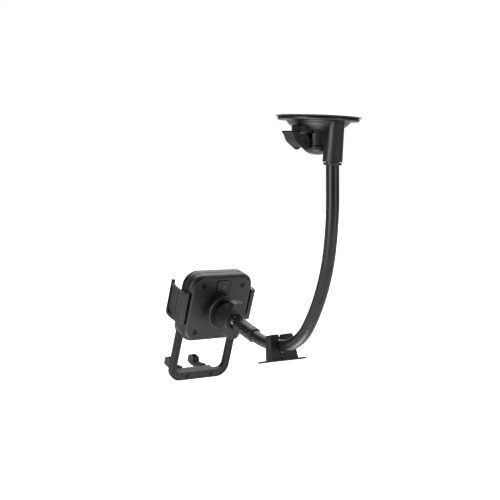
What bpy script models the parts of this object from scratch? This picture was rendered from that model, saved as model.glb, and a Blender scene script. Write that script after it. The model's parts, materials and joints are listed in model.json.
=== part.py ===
"""Car phone mount: suction base, bendable neck, dashboard clip, ball joint and clamping cradle.

Metres, +Z up.  The origin is the centre of the suction face, which points up, and the
mount hangs below it.  The neck lies in the XZ plane and the phone faces -X.
"""
from math import asin, atan2, cos, degrees, pi, radians, sin, sqrt, tan

import bmesh
import bpy
from mathutils import Matrix, Vector

MM = 0.001
GAP = 0.3 * MM                      # running gap kept between neighbouring pieces

# Suction base
DISC_R = 32.0 * MM
DISC_EDGE = 1.1 * MM
FLANGE_R = 30.7 * MM
FLANGE_BOTTOM = -3.4 * MM
BOWL_WALL = 1.6 * MM
BOWL_PROFILE = [(25.0 * MM, -3.5 * MM), (22.2 * MM, -6.4 * MM), (18.0 * MM, -9.4 * MM),
                (10.1 * MM, -12.4 * MM)]
BARREL_R = 10.1 * MM
BARREL_BORE = 8.3 * MM
BARREL_BOTTOM = -22.0 * MM
CAP_R = 10.6 * MM
CAP_BOTTOM = -28.7 * MM
SLOT_HALF = 4.3 * MM                # half width of the slot that the plunger arm runs in
SLOT_TOP = -14.2 * MM

# Cam lever, in the YZ plane, pivoting on the plunger arm
PIN_Y = -16.3 * MM
PIN_Z = -20.0 * MM
PIN_R = 1.2 * MM
ARM_HALF = 3.9 * MM
ARM_END_R = 3.0 * MM
LEVER_HALF = 5.9 * MM
LEVER_SWING = radians(75.0)
PLUNGER_TRAVEL = 2.4 * MM
CAM_PAD_Z = -13.1 * MM
CAM_HEIGHT = PIN_Z * -1.0 + CAM_PAD_Z - GAP

# Neck socket on the base
SOCKET_X = 17.9 * MM
SOCKET_R = 7.4 * MM
SOCKET_TOP_X = 19.6 * MM
SOCKET_TOP_R = 6.6 * MM
SOCKET_BOTTOM = -33.6 * MM
COLLAR_R = 6.8 * MM
COLLAR_BOTTOM = -36.1 * MM

# Bendable neck: straight and circular stretches as (length, turn in degrees)
NECK_R = 4.9 * MM
NECK_BORE = 3.5 * MM
CORE_R = 3.1 * MM
NECK_START = (18.1 * MM, -34.3 * MM)
NECK_HEADING = -86.0
NECK_ROOT = 13.0 * MM               # straight stretch hidden in the socket
NECK_RUNS = [(25.0 * MM, 0.0), (40.7 * MM, -10.25), (63.7 * MM, -25.9),
             (33.8 * MM, -45.65), (40.7 * MM, -28.2), (33.5 * MM, 0.0)]
NECK_LENGTH = sum(run[0] for run in NECK_RUNS)
BEND_AT = [48.0 * MM, 117.0 * MM, 190.5 * MM]
BEND_CUP_R = NECK_R + GAP
NECK_STEP = 8.0 * MM
NECK_SIDES = 14

# Dashboard clip, centred on the neck
CLIP_AT = 169.2 * MM
CLIP_LEAN = radians(-8.0)           # the clip hangs a little askew in its wide bore
CLIP_HALF_X = 3.6 * MM
CLIP_BORE = 5.9 * MM
CLIP_EAR_TOP = 9.0 * MM
CLIP_TOP_HALF = 10.9 * MM
CLIP_BASE_HALF = 13.6 * MM
CLIP_FOOT = -12.2 * MM
CLIP_PLATE = 1.4 * MM
CLIP_PLATE_HALF_Y = 21.2 * MM
CLIP_PLATE_HALF_X = 4.8 * MM
CLIP_THROAT_HALF = 2.2 * MM
CLIP_MOUTH_HALF = 4.0 * MM

# Ball joint; the cradle's own frame has X along the stud towards the neck, Y sideways, Z up the phone
CRADLE_TILT = 16.0
BALL_R = 6.0 * MM
STEM_R = 2.7 * MM
LINER_IN = BALL_R + GAP
LINER_OUT = 7.2 * MM
SEAT_R = LINER_OUT + GAP
COLLAR_OUT = 8.6 * MM
NUT_BORE = COLLAR_OUT + GAP
NUT_R = 10.6 * MM
NUT_FRONT = 5.6 * MM
NUT_BACK = -9.6 * MM
WING_R = 16.6 * MM
WING_HALF = 3.4 * MM
STUD_END = 20.0 * MM
FERRULE_R = 6.2 * MM
FERRULE_START = 10.0 * MM
FERRULE_END = 33.5 * MM

# Cradle shell
BACK_X = -21.1 * MM
SHOULDER_X = -24.6 * MM
PART_X = -29.2 * MM
FRONT_X = -36.3 * MM
SHELL_HALF_Y = 32.3 * MM
SHELL_HALF_Z = 30.4 * MM
BACK_HALF_Y = 29.8 * MM
BACK_HALF_Z = 28.6 * MM
CORNER_R = 12.5 * MM
WALL = 1.4 * MM
BOSS_R = 14.8 * MM
BOSS_BASE_R = 12.4 * MM
BOSS_FRONT = -12.5 * MM

# Clamp arms and their drive
ARM_TOP = 15.1 * MM
ARM_BOTTOM = -13.0 * MM
WING_TOP = 19.8 * MM
ARM_OUT = 37.0 * MM
ARM_IN = 32.3 * MM
STRIP_BACK = -22.2 * MM
ARM_POCKET = 30.0 * MM              # the cover is cut back to here beside the arms
ARM_WALL = 2.2 * MM
ARM_TIP_X = -44.0 * MM
RACK_BACK = -24.9 * MM
RACK_FRONT = -28.3 * MM
GEAR_Z = 1.0 * MM
GEAR_TEETH = 12
GEAR_MODULE = 0.8 * MM
GEAR_PITCH_R = GEAR_TEETH * GEAR_MODULE / 2.0
RACK_REACH = GEAR_PITCH_R + 3.4 * MM
PRESSURE = radians(20.0)
BACKLASH = 0.35 * MM

# Release button and bottom support
BUTTON_HALF_Y = 6.0 * MM
BUTTON_TOP = 25.6 * MM
BUTTON_BOTTOM = 16.6 * MM
LEG_OUT = 30.5 * MM
LEG_WIDE = 5.6 * MM
LEG_BACK = -29.8 * MM
LEG_DEEP = 4.6 * MM
LEG_TOP = -8.5 * MM
BAR_TOP = -64.1 * MM
BAR_BOTTOM = -71.7 * MM
FOOT_Y = 12.5 * MM
FOOT_HALF = 3.4 * MM
SHELF_X = -38.5 * MM
SHELF_HALF = 16.0 * MM
FOOT_TOP = [(-42.0 * MM, -66.0 * MM), (-54.3 * MM, -69.6 * MM)]
FOOT_HOOK_Z = -64.6 * MM
FOOT_TIP_X = -63.8 * MM

BLACK = (0.012, 0.012, 0.013)
DARK = (0.02, 0.02, 0.021)
RUBBER = (0.015, 0.015, 0.015)
STEEL = (0.55, 0.56, 0.58)
MATERIALS = {
    "moulded_shell": (BLACK, 0.42, 0.0),
    "satin_trim": (DARK, 0.3, 0.0),
    "soft_rubber": (RUBBER, 0.75, 0.0),
    "neck_sheath": (DARK, 0.35, 0.0),
    "bright_steel": (STEEL, 0.28, 1.0),
    "ball_polish": (DARK, 0.12, 0.0),
}


# ---------------------------------------------------------------- helpers
def clear_scene():
    for obj in list(bpy.data.objects):
        bpy.data.objects.remove(obj, do_unlink=True)


def make_material(name, look):
    colour, roughness, metallic = MATERIALS[look]
    material = bpy.data.materials.new(name + "_" + look)
    material.use_nodes = True
    shader = material.node_tree.nodes["Principled BSDF"]
    shader.inputs["Base Color"].default_value = (*colour, 1.0)
    shader.inputs["Roughness"].default_value = roughness
    shader.inputs["Metallic"].default_value = metallic
    return material


def add_object(name, bm, look=None, parent=None, origin=(0.0, 0.0, 0.0)):
    """Store bm, given in its parent's frame, as an object whose origin is at the given point."""
    bmesh.ops.remove_doubles(bm, verts=bm.verts, dist=1e-6)
    bmesh.ops.recalc_face_normals(bm, faces=bm.faces)
    bmesh.ops.translate(bm, verts=bm.verts, vec=-Vector(origin))
    mesh = bpy.data.meshes.new(name)
    bm.to_mesh(mesh)
    bm.free()
    mesh.shade_smooth()
    mesh.set_sharp_from_angle(angle=radians(35.0))
    obj = bpy.data.objects.new(name, mesh)
    bpy.context.scene.collection.objects.link(obj)
    obj.location = origin
    obj.parent = parent
    if look:
        mesh.materials.append(make_material(name, look))
    return obj


def add_empty(name, matrix):
    empty = bpy.data.objects.new(name, None)
    bpy.context.scene.collection.objects.link(empty)
    empty.matrix_world = matrix
    return empty


def combine(obj, bm, operation="DIFFERENCE"):
    """Cut bm from obj, or join it, with a live Boolean modifier."""
    tool = add_object(obj.name + "_tool", bm, parent=obj.parent)
    tool.hide_render = True
    tool.display_type = "WIRE"
    modifier = obj.modifiers.new("shape", "BOOLEAN")
    modifier.operation = operation
    modifier.solver = "EXACT"
    modifier.object = tool


def bevel(obj, width, segments=2, angle=35.0):
    modifier = obj.modifiers.new("edges", "BEVEL")
    modifier.width = width
    modifier.segments = segments
    modifier.limit_method = "ANGLE"
    modifier.angle_limit = radians(angle)


def box(low, high):
    bm = bmesh.new()
    bmesh.ops.create_cube(bm, size=1.0)
    low, high = Vector(low), Vector(high)
    size = high - low
    for vert in bm.verts:
        vert.co = low + Vector((vert.co[i] + 0.5) * size[i] for i in range(3))
    return bm


def box_between(a, b):
    return box([min(pair) for pair in zip(a, b)], [max(pair) for pair in zip(a, b)])


def loft(rings, closed=False):
    """Skin a list of equal rings of points; the ends are capped unless the loft closes on itself."""
    bm = bmesh.new()
    rows = [[bm.verts.new(p) for p in ring] for ring in rings]
    count = len(rows[0])
    last = len(rows) if closed else len(rows) - 1
    for i in range(last):
        low, high = rows[i], rows[(i + 1) % len(rows)]
        for j in range(count):
            k = (j + 1) % count
            bm.faces.new((low[j], low[k], high[k], high[j]))
    if not closed:
        bm.faces.new(rows[0])
        bm.faces.new(rows[-1])
    return bm


def turned(profile, axis="Z", centre=(0.0, 0.0, 0.0), sides=32, closed=True):
    """Turn (radius, height) points about an axis; a closed profile makes a ring, an open one a solid."""
    rings = []
    for radius, height in profile:
        ring = []
        for i in range(sides):
            a = 2.0 * pi * i / sides
            u, w = radius * cos(a), radius * sin(a)
            point = {"X": (height, u, w), "Y": (w, height, u), "Z": (u, w, height)}[axis]
            ring.append(Vector(centre) + Vector(point))
        rings.append(ring)
    return loft(rings, closed)


def rod(radius, low, high, axis="Z", centre=(0.0, 0.0, 0.0), sides=20):
    return turned([(radius, low), (radius, high)], axis, centre, sides, closed=False)


def prism(outline, low, high, plane="YZ"):
    """Extrude a flat outline of (u, v) points between two heights."""
    place = {
        "YZ": lambda u, v, h: (h, u, v),
        "XZ": lambda u, v, h: (u, h, v),
        "XY": lambda u, v, h: (u, v, h),
    }[plane]
    return loft([[place(u, v, h) for u, v in outline] for h in (low, high)])


def arc(centre, radius, start, end, steps):
    """Points on an arc, angles in degrees."""
    out = []
    for i in range(steps + 1):
        a = radians(start + (end - start) * i / steps)
        out.append((centre[0] + radius * cos(a), centre[1] + radius * sin(a)))
    return out


def rounded(half_y, half_z, radius, steps=4):
    out = []
    for sy, sz, start in ((1, 1, 0), (-1, 1, 90), (-1, -1, 180), (1, -1, 270)):
        centre = (sy * (half_y - radius), sz * (half_z - radius))
        out += arc(centre, radius, start, start + 90, steps)
    return out


# ---------------------------------------------------------------- neck curve
def neck_frame(distance):
    """Point and unit direction of the neck's centreline, in the XZ plane."""
    x, z = NECK_START
    heading = radians(NECK_HEADING)
    if distance < 0.0:
        return Vector((x + distance * cos(heading), 0.0,
                       z + distance * sin(heading))), Vector((cos(heading), 0.0, sin(heading)))
    left = distance
    for length, turn in NECK_RUNS:
        part = min(left, length)
        bend = radians(turn) * part / length
        if turn:
            radius = length / radians(turn)
            x += radius * (sin(heading + bend) - sin(heading))
            z -= radius * (cos(heading + bend) - cos(heading))
        else:
            x += part * cos(heading)
            z += part * sin(heading)
        heading += bend
        left -= part
        if left <= 0.0:
            break
    return Vector((x, 0.0, z)), Vector((cos(heading), 0.0, sin(heading)))


def neck_ring(distance, radius, sides=NECK_SIDES, ahead=0.0):
    """Circle around the neck; ahead moves it along the tangent at the given distance."""
    point, along = neck_frame(distance)
    side = Vector((0.0, 1.0, 0.0))
    up = along.cross(side)
    centre = point + along * ahead
    angles = [2 * pi * i / sides for i in range(sides)]
    return [centre + (side * cos(a) + up * sin(a)) * radius for a in angles]


def stations(start, end, step=NECK_STEP):
    count = max(2, round((end - start) / step))
    return [start + (end - start) * i / count for i in range(count + 1)]


BALL_POINT, STUD_BACK = neck_frame(NECK_LENGTH)
CRADLE = Matrix.Translation(BALL_POINT) @ Matrix.Rotation(radians(CRADLE_TILT), 4, "Y")
CLIP_POINT, CLIP_ALONG = neck_frame(CLIP_AT)


# ---------------------------------------------------------------- suction base
def suction_membrane():
    profile = [(0.5 * MM, -3.6 * MM), (9.0 * MM, -3.3 * MM), (18.0 * MM, -1.9 * MM),
               (25.0 * MM, -0.3 * MM),
               (26.5 * MM, 0.0), (DISC_R - 0.3 * MM, 0.0), (DISC_R, -0.4 * MM), (DISC_R, -DISC_EDGE),
               (26.0 * MM, -1.4 * MM), (18.0 * MM, -3.6 * MM), (9.0 * MM, -5.0 * MM), (4.6 * MM, -5.2 * MM),
               (4.6 * MM, -7.2 * MM), (0.5 * MM, -7.2 * MM)]
    add_object("suction_membrane", turned(profile, sides=32, closed=False), "soft_rubber")


def socket_body():
    rings = []
    for share in (0.0, 1.0):
        centre_x = SOCKET_X + (SOCKET_TOP_X - SOCKET_X) * share
        radius = SOCKET_R + (SOCKET_TOP_R - SOCKET_R) * share
        height = SOCKET_BOTTOM + (-3.2 * MM - SOCKET_BOTTOM) * share
        angles = [2 * pi * i / 20 for i in range(20)]
        rings.append([(centre_x + radius * cos(a), radius * sin(a), height) for a in angles])
    return loft(rings)


def bowl_hollow():
    """Space under the rubber: the barrel's bore, the inside of the bowl and the recess in the rim."""
    inner = [(r - BOWL_WALL, z + 0.5 * BOWL_WALL) for r, z in BOWL_PROFILE[:3]]
    profile = [(0.02 * MM, BARREL_BOTTOM - 1.0 * MM), (BARREL_BORE, BARREL_BOTTOM - 1.0 * MM),
               (BARREL_BORE, -10.6 * MM)]
    profile += inner[::-1] + [(26.2 * MM, -1.9 * MM), (27.7 * MM, -0.9 * MM), (0.02 * MM, -0.9 * MM)]
    return turned(profile, sides=32, closed=False)


def base_housing():
    rim = [(0.02 * MM, -1.5 * MM), (FLANGE_R, -1.5 * MM), (FLANGE_R, FLANGE_BOTTOM + 0.4 * MM)]
    profile = rim + [(FLANGE_R - 0.5 * MM, FLANGE_BOTTOM)] + BOWL_PROFILE
    profile += [(BARREL_R, BARREL_BOTTOM), (0.02 * MM, BARREL_BOTTOM)]
    housing = add_object("base_housing", turned(profile, sides=32, closed=False), "moulded_shell")
    combine(housing, socket_body(), "UNION")
    web = [(15.0 * MM, -31.5 * MM), (15.0 * MM, -9.0 * MM), (9.1 * MM, -9.0 * MM),
           (9.1 * MM, BARREL_BOTTOM + 0.5 * MM),
           (CAP_R + 0.5 * MM, BARREL_BOTTOM + 0.5 * MM), (CAP_R + 0.5 * MM, -31.5 * MM)]
    combine(housing, prism(web, -3.6 * MM, 3.6 * MM, "XZ"), "UNION")
    cam_pad = box((-LEVER_HALF, -20.5 * MM, CAM_PAD_Z), (LEVER_HALF, -9.0 * MM, -8.0 * MM))
    combine(housing, cam_pad, "UNION")
    combine(housing, bowl_hollow())
    combine(housing, loft([neck_ring(s, NECK_R + GAP) for s in (-NECK_ROOT - 0.5 * MM, 4.0 * MM)]))
    combine(housing, box((-SLOT_HALF, -14.0 * MM, -24.0 * MM), (SLOT_HALF, -4.0 * MM, SLOT_TOP)))


def barrel_cap():
    top = BARREL_BOTTOM - GAP
    shoulder = top - 1.2 * MM
    floor = CAP_BOTTOM + 1.6 * MM
    turns = [radians(a) for a in (0, 25, 48, 68, 86)]
    dome = [(CAP_R * cos(a), shoulder + (CAP_BOTTOM - shoulder) * sin(a)) for a in turns]
    profile = [(BARREL_BORE, top), (CAP_R - 0.4 * MM, top), (CAP_R, top - 0.4 * MM)] + dome
    profile += [(dome[-1][0], floor), (BARREL_BORE - 1.0 * MM, floor), (BARREL_BORE, floor + 1.0 * MM)]
    cap = add_object("barrel_cap", turned(profile, sides=24), "moulded_shell")
    combine(cap, rod(1.6 * MM, CAP_BOTTOM + 0.5 * MM, floor, sides=12), "UNION")
    combine(cap, box((-SLOT_HALF, -14.0 * MM, PIN_Z - ARM_END_R - 0.5 * MM),
                     (SLOT_HALF, -4.0 * MM, -20.0 * MM)))


def plunger():
    hub_r = BARREL_BORE - GAP
    hub_top = PIN_Z + ARM_END_R
    hub_bottom = PIN_Z - ARM_END_R
    profile = [(3.9 * MM, -7.5 * MM), (3.9 * MM, hub_top), (hub_r, hub_top - 0.2 * MM),
               (hub_r, hub_bottom)]
    post = add_object("plunger", turned(profile, sides=24, closed=False), "satin_trim",
                      origin=(0.0, 0.0, PIN_Z))
    arm = [(-4.0 * MM, hub_bottom), (-4.0 * MM, hub_top)] + arc((PIN_Y, PIN_Z), ARM_END_R, 90, 270, 8)
    combine(post, prism(arm, -ARM_HALF, ARM_HALF), "UNION")
    combine(post, rod(PIN_R + GAP, -8.0 * MM, 8.0 * MM, "X", (0.0, PIN_Y, PIN_Z), 16))


def coil(radius, wire, turns, low, high, sides=6, per_turn=14):
    rings = []
    steps = int(turns * per_turn)
    for i in range(steps + 1):
        t = i / steps
        a = 2 * pi * turns * t
        centre = Vector((radius * cos(a), radius * sin(a), low + (high - low) * t))
        out = Vector((cos(a), sin(a), 0.0))
        up = Vector((0.0, 0.0, 1.0))
        angles = [2 * pi * j / sides for j in range(sides)]
        rings.append([centre + (out * cos(b) + up * sin(b)) * wire for b in angles])
    return loft(rings)


def plunger_spring():
    low = CAP_BOTTOM + 1.6 * MM + GAP + 0.4 * MM
    high = PIN_Z - ARM_END_R - GAP - 0.4 * MM
    add_object("plunger_spring", coil(5.2 * MM, 0.4 * MM, 2.5, low, high, 5, 12), "bright_steel")


def cam_edge(angle):
    """Cam outline: its distance to the pad falls in step with the plunger's travel."""
    fall = PLUNGER_TRAVEL / LEVER_SWING
    height = CAM_HEIGHT - fall * angle
    y = height * sin(angle) - fall * cos(angle)
    z = height * cos(angle) + fall * sin(angle)
    return PIN_Y + y, PIN_Z + z


def cam_lever():
    outline = [(-29.6 * MM, -12.0 * MM), (-22.0 * MM, -13.4 * MM)]
    outline += [cam_edge(radians(a)) for a in range(0, 91, 15)]
    outline += [(-12.6 * MM, -23.4 * MM), (-13.6 * MM, -24.8 * MM), (-16.4 * MM, -25.5 * MM),
                (-25.4 * MM, -19.6 * MM), (-28.0 * MM, -14.6 * MM), (-29.8 * MM, -13.0 * MM)]
    lever = add_object("cam_lever", prism(outline, -LEVER_HALF, LEVER_HALF), "satin_trim",
                       origin=(0.0, PIN_Y, PIN_Z))
    pocket = [(-23.6 * MM, -11.0 * MM), (-23.6 * MM, -14.3 * MM), (-26.6 * MM, -15.1 * MM),
              (-24.2 * MM, -19.0 * MM), (-19.0 * MM, -22.5 * MM), (-19.0 * MM, -28.0 * MM),
              (-9.0 * MM, -28.0 * MM), (-9.0 * MM, -11.0 * MM)]
    inner = ARM_HALF + 0.4 * MM
    combine(lever, prism(pocket, -inner, inner))
    combine(lever, rod(PIN_R + GAP, -8.0 * MM, 8.0 * MM, "X", (0.0, PIN_Y, PIN_Z), 16))


def lever_pin():
    half = LEVER_HALF - 0.1 * MM
    add_object("lever_pin", rod(PIN_R, -half, half, "X", (0.0, PIN_Y, PIN_Z), 16), "bright_steel",
               origin=(0.0, PIN_Y, PIN_Z))


def neck_collar():
    top = SOCKET_BOTTOM - GAP
    centre = neck_frame(0.0)[0]
    profile = [(NECK_R + GAP, top), (COLLAR_R, top), (COLLAR_R, COLLAR_BOTTOM + 0.5 * MM),
               (COLLAR_R - 0.5 * MM, COLLAR_BOTTOM), (NECK_R + GAP, COLLAR_BOTTOM)]
    add_object("neck_collar", turned(profile, centre=(centre.x, 0.0, 0.0), sides=24), "satin_trim")


# ---------------------------------------------------------------- bendable neck
def neck_sheath(name, start, end, cup, dome):
    """Tube along the neck: a hollow cup at its start and a dome at its end, where the bends are."""
    steps = 3
    rings = []
    first = sqrt(BEND_CUP_R ** 2 - NECK_R ** 2)
    if cup:
        for i in range(steps + 1):
            radius = NECK_BORE + (NECK_R - NECK_BORE) * i / steps
            rings.append(neck_ring(start, radius, ahead=sqrt(BEND_CUP_R ** 2 - radius ** 2)))
    else:
        rings += [neck_ring(start, NECK_BORE), neck_ring(start, NECK_R)]
    body = stations(start + (first + 4.0 * MM if cup else 4.0 * MM), end)
    rings += [neck_ring(s, NECK_R) for s in body]
    if dome:
        widest = asin(NECK_BORE / NECK_R)
        for i in range(1, steps + 1):
            a = pi / 2 - (pi / 2 - widest) * i / steps
            rings.append(neck_ring(end, NECK_R * sin(a), ahead=NECK_R * cos(a)))
    else:
        rings.append(neck_ring(end, NECK_BORE))
    rings += [neck_ring(s, NECK_BORE) for s in body[::-1][1:]]
    origin = neck_frame(start)[0]
    add_object(name, loft(rings, closed=True), "neck_sheath", origin=origin)


def neck_core(name, start, end, cup, dome):
    low = start + (BEND_CUP_R + 0.4 * MM if cup else 0.4 * MM)
    high = end + (2.0 * MM if dome else -0.4 * MM)
    rings = [neck_ring(s, CORE_R, 10) for s in stations(low, high, 9.0 * MM)]
    add_object(name, loft(rings), "bright_steel", origin=neck_frame(start)[0])


def bendable_neck():
    ends = [-NECK_ROOT] + BEND_AT + [NECK_LENGTH - STUD_END - GAP]
    names = ["root", "upper", "lower", "tip"]
    for i, name in enumerate(names):
        cup = i > 0
        dome = i < len(names) - 1
        neck_sheath("neck_sheath_" + name, ends[i], ends[i + 1], cup, dome)
        neck_core("neck_core_" + name, ends[i], ends[i + 1], cup, dome)


# ---------------------------------------------------------------- dashboard clip
def dash_clip():
    angle = atan2(CLIP_ALONG.z, -CLIP_ALONG.x) + CLIP_LEAN
    frame = add_empty("clip_frame", Matrix.Translation(CLIP_POINT) @ Matrix.Rotation(angle, 4, "Y"))
    plate_top = CLIP_FOOT + CLIP_PLATE
    throat_z = sqrt(CLIP_BORE ** 2 - CLIP_THROAT_HALF ** 2)
    start = 90.0 - degrees(atan2(CLIP_THROAT_HALF, throat_z))
    seat = arc((0.0, 0.0), CLIP_BORE, 180.0 - start, 360.0 + start, 14)
    outline = [(-CLIP_MOUTH_HALF, CLIP_EAR_TOP)] + seat
    outline += [(CLIP_MOUTH_HALF, CLIP_EAR_TOP), (CLIP_TOP_HALF, CLIP_EAR_TOP), (CLIP_BASE_HALF, plate_top)]
    outline += [(-CLIP_BASE_HALF, plate_top), (-CLIP_TOP_HALF, CLIP_EAR_TOP)]
    clip = add_object("dash_clip", prism(outline, -CLIP_HALF_X, CLIP_HALF_X), "moulded_shell", frame)
    foot = rounded(CLIP_PLATE_HALF_X, CLIP_PLATE_HALF_Y, 1.5 * MM, 3)
    combine(clip, prism(foot, CLIP_FOOT, plate_top + 0.1 * MM, "XY"), "UNION")


# ---------------------------------------------------------------- ball joint
def sphere_profile(radius, start, end, steps):
    """Points (radius, x) on a sphere, angles in degrees from the front of the stud's axis."""
    out = []
    for i in range(steps + 1):
        a = radians(start + (end - start) * i / steps)
        out.append((radius * sin(a), radius * cos(a)))
    return out


def ball_stud(frame):
    neck_angle = degrees(asin(STEM_R / BALL_R))
    profile = sphere_profile(BALL_R, 177.0, neck_angle, 9) + [(STEM_R, STUD_END)]
    add_object("ball_stud", turned(profile, "X", sides=24, closed=False), "ball_polish", frame)


def neck_ferrule(frame):
    edge = 0.6 * MM
    profile = [(STEM_R + GAP, FERRULE_START), (FERRULE_R - edge, FERRULE_START),
               (FERRULE_R, FERRULE_START + edge),
               (FERRULE_R, FERRULE_END - edge), (FERRULE_R - edge, FERRULE_END), (NECK_R + GAP, FERRULE_END),
               (NECK_R + GAP, STUD_END), (STEM_R + GAP, STUD_END - 0.8 * MM)]
    add_object("neck_ferrule", turned(profile, "X", sides=20), "satin_trim", frame)


def ball_liners(frame):
    ring = sphere_profile(LINER_IN, 50.0, 70.0, 3) + sphere_profile(LINER_OUT, 70.0, 50.0, 3)
    add_object("pressure_ring", turned(ring, "X", sides=20), "soft_rubber", frame)
    seat = sphere_profile(LINER_OUT, 177.0, 98.0, 5) + sphere_profile(LINER_IN, 98.0, 177.0, 5)
    add_object("ball_seat", turned(seat, "X", sides=20, closed=False), "soft_rubber", frame)


def wing_nut(frame):
    lip = sphere_profile(SEAT_R, 56.0, 68.0, 2)
    step_x = lip[-1][1]
    profile = [(NUT_BORE, NUT_BACK), (NUT_R, NUT_BACK), (NUT_R, NUT_FRONT - 1.4 * MM),
               (NUT_R - 1.4 * MM, NUT_FRONT), (lip[0][0] + 1.0 * MM,
                                               NUT_FRONT)] + lip + [(NUT_BORE, step_x)]
    nut = add_object("wing_nut", turned(profile, "X", sides=24), "moulded_shell", frame)
    for side in (1, -1):
        wing = [(side * (NUT_R - 1.2 * MM), -WING_HALF), (side * WING_R, -WING_HALF * 0.8),
                (side * WING_R, WING_HALF * 0.8), (side * (NUT_R - 1.2 * MM), WING_HALF)]
        combine(nut, prism([(v, u) for u, v in wing], NUT_BACK + 0.8 * MM, 2.4 * MM), "UNION")


# ---------------------------------------------------------------- cradle shell
def shell_ring(x, half_y, half_z, radius):
    return [(x, y, z) for y, z in rounded(half_y, half_z, radius)]


def cover_screw_places():
    return [(sy * 20.0 * MM, sz * 21.0 * MM) for sy in (1, -1) for sz in (1, -1)]


def rear_cover(frame):
    inset = WALL
    rings = [
        shell_ring(BACK_X, BACK_HALF_Y - 2.0 * MM, BACK_HALF_Z - 2.0 * MM, CORNER_R - 3.0 * MM),
        shell_ring(BACK_X - 0.6 * MM, BACK_HALF_Y, BACK_HALF_Z, CORNER_R - 1.5 * MM),
        shell_ring(SHOULDER_X, SHELL_HALF_Y, SHELL_HALF_Z - 0.6 * MM, CORNER_R),
        shell_ring(PART_X, SHELL_HALF_Y, SHELL_HALF_Z, CORNER_R),
        shell_ring(PART_X, SHELL_HALF_Y - inset, SHELL_HALF_Z - inset, CORNER_R - inset),
        shell_ring(BACK_X - 1.9 * MM, BACK_HALF_Y - inset, BACK_HALF_Z - inset, CORNER_R - 3.0 * MM),
    ]
    cover = add_object("rear_cover", loft(rings), "moulded_shell", frame)
    boss = [(BOSS_BASE_R, BACK_X - 0.8 * MM), (BOSS_R + 0.4 * MM, BOSS_FRONT - 0.5 * MM),
            (BOSS_R, BOSS_FRONT), (COLLAR_OUT, BOSS_FRONT)]
    boss += [(COLLAR_OUT, 1.8 * MM)] + sphere_profile(SEAT_R, 75.0, 177.0, 6)
    combine(cover, turned(boss, "X", sides=24, closed=False), "UNION")
    for side in (1, -1):
        low = (BACK_X + 2.0 * MM, side * ARM_POCKET, ARM_BOTTOM - GAP)
        high = (PART_X - 1.0 * MM, side * 40.0 * MM, ARM_TOP + GAP)
        combine(cover, box_between(low, high))
        low = (RACK_BACK + GAP, side * 28.0 * MM, GEAR_Z - RACK_REACH - GAP)
        high = (PART_X - 1.0 * MM, side * 36.0 * MM, GEAR_Z + RACK_REACH + GAP)
        combine(cover, box_between(low, high))
    window = [(y, z + (BUTTON_TOP + BUTTON_BOTTOM) / 2) for y,
              z in rounded(BUTTON_HALF_Y + GAP, (BUTTON_TOP - BUTTON_BOTTOM) / 2 + GAP, 2.3 * MM, 3)]
    combine(cover, prism(window, BACK_X - 4.0 * MM, BACK_X + 2.0 * MM))
    for y, z in cover_screw_places():
        combine(cover, rod(1.2 * MM, BACK_X - 3.0 * MM, BACK_X - 0.5 * MM, "X", (0.0, y, z), 12))
        combine(cover, rod(2.3 * MM, BACK_X - 0.8 * MM, BACK_X + 1.0 * MM, "X", (0.0, y, z), 14))


def cover_screws(frame):
    for i, (y, z) in enumerate(cover_screw_places()):
        profile = [(2.0 * MM, BACK_X - 0.2 * MM), (2.0 * MM, BACK_X - 0.5 * MM),
                   (0.9 * MM, BACK_X - 0.5 * MM), (0.9 * MM, BACK_X - 6.6 * MM)]
        screw = turned(profile, "X", (0.0, y, z), 12, closed=False)
        add_object(f"cover_screw_{i + 1}", screw, "bright_steel", frame)


def front_cover(frame):
    back = PART_X - GAP
    inset = WALL
    rings = [
        shell_ring(FRONT_X, SHELL_HALF_Y - 2.0 * MM, SHELL_HALF_Z - 2.0 * MM, CORNER_R - 1.5 * MM),
        shell_ring(FRONT_X + 1.4 * MM, SHELL_HALF_Y - 0.3 * MM, SHELL_HALF_Z - 0.3 * MM, CORNER_R),
        shell_ring(back, SHELL_HALF_Y, SHELL_HALF_Z, CORNER_R),
        shell_ring(back, SHELL_HALF_Y - inset, SHELL_HALF_Z - inset, CORNER_R - inset),
        shell_ring(FRONT_X + 1.5 * MM, SHELL_HALF_Y - inset, SHELL_HALF_Z - inset, CORNER_R - inset),
    ]
    cover = add_object("front_cover", loft(rings), "moulded_shell", frame)
    combine(cover, rod(1.8 * MM, FRONT_X + 1.0 * MM, RACK_BACK, "X", (0.0, 0.0, GEAR_Z), 16), "UNION")
    for y, z in cover_screw_places():
        post = rod(2.2 * MM, FRONT_X + 1.0 * MM, BACK_X - 2.4 * MM, "X", (0.0, y, z), 14)
        combine(cover, post, "UNION")
        combine(cover, rod(1.2 * MM, BACK_X - 7.2 * MM, BACK_X - 1.0 * MM, "X", (0.0, y, z), 12))
    for side in (1, -1):
        ys = sorted((side * (LEG_OUT + GAP), side * (LEG_OUT - LEG_WIDE - GAP)))
        combine(cover, box((FRONT_X + 1.5 * MM, ys[0], -40.0 * MM),
                           (PART_X + 1.0 * MM, ys[1], -20.0 * MM)))


def front_pad(frame):
    back = FRONT_X - GAP
    ring = rounded(25.0 * MM, 22.0 * MM, 6.0 * MM, 4)
    pad = add_object("front_pad", prism(ring, back - 1.2 * MM, back), "soft_rubber", frame)
    bevel(pad, 0.4 * MM, 1)


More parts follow.
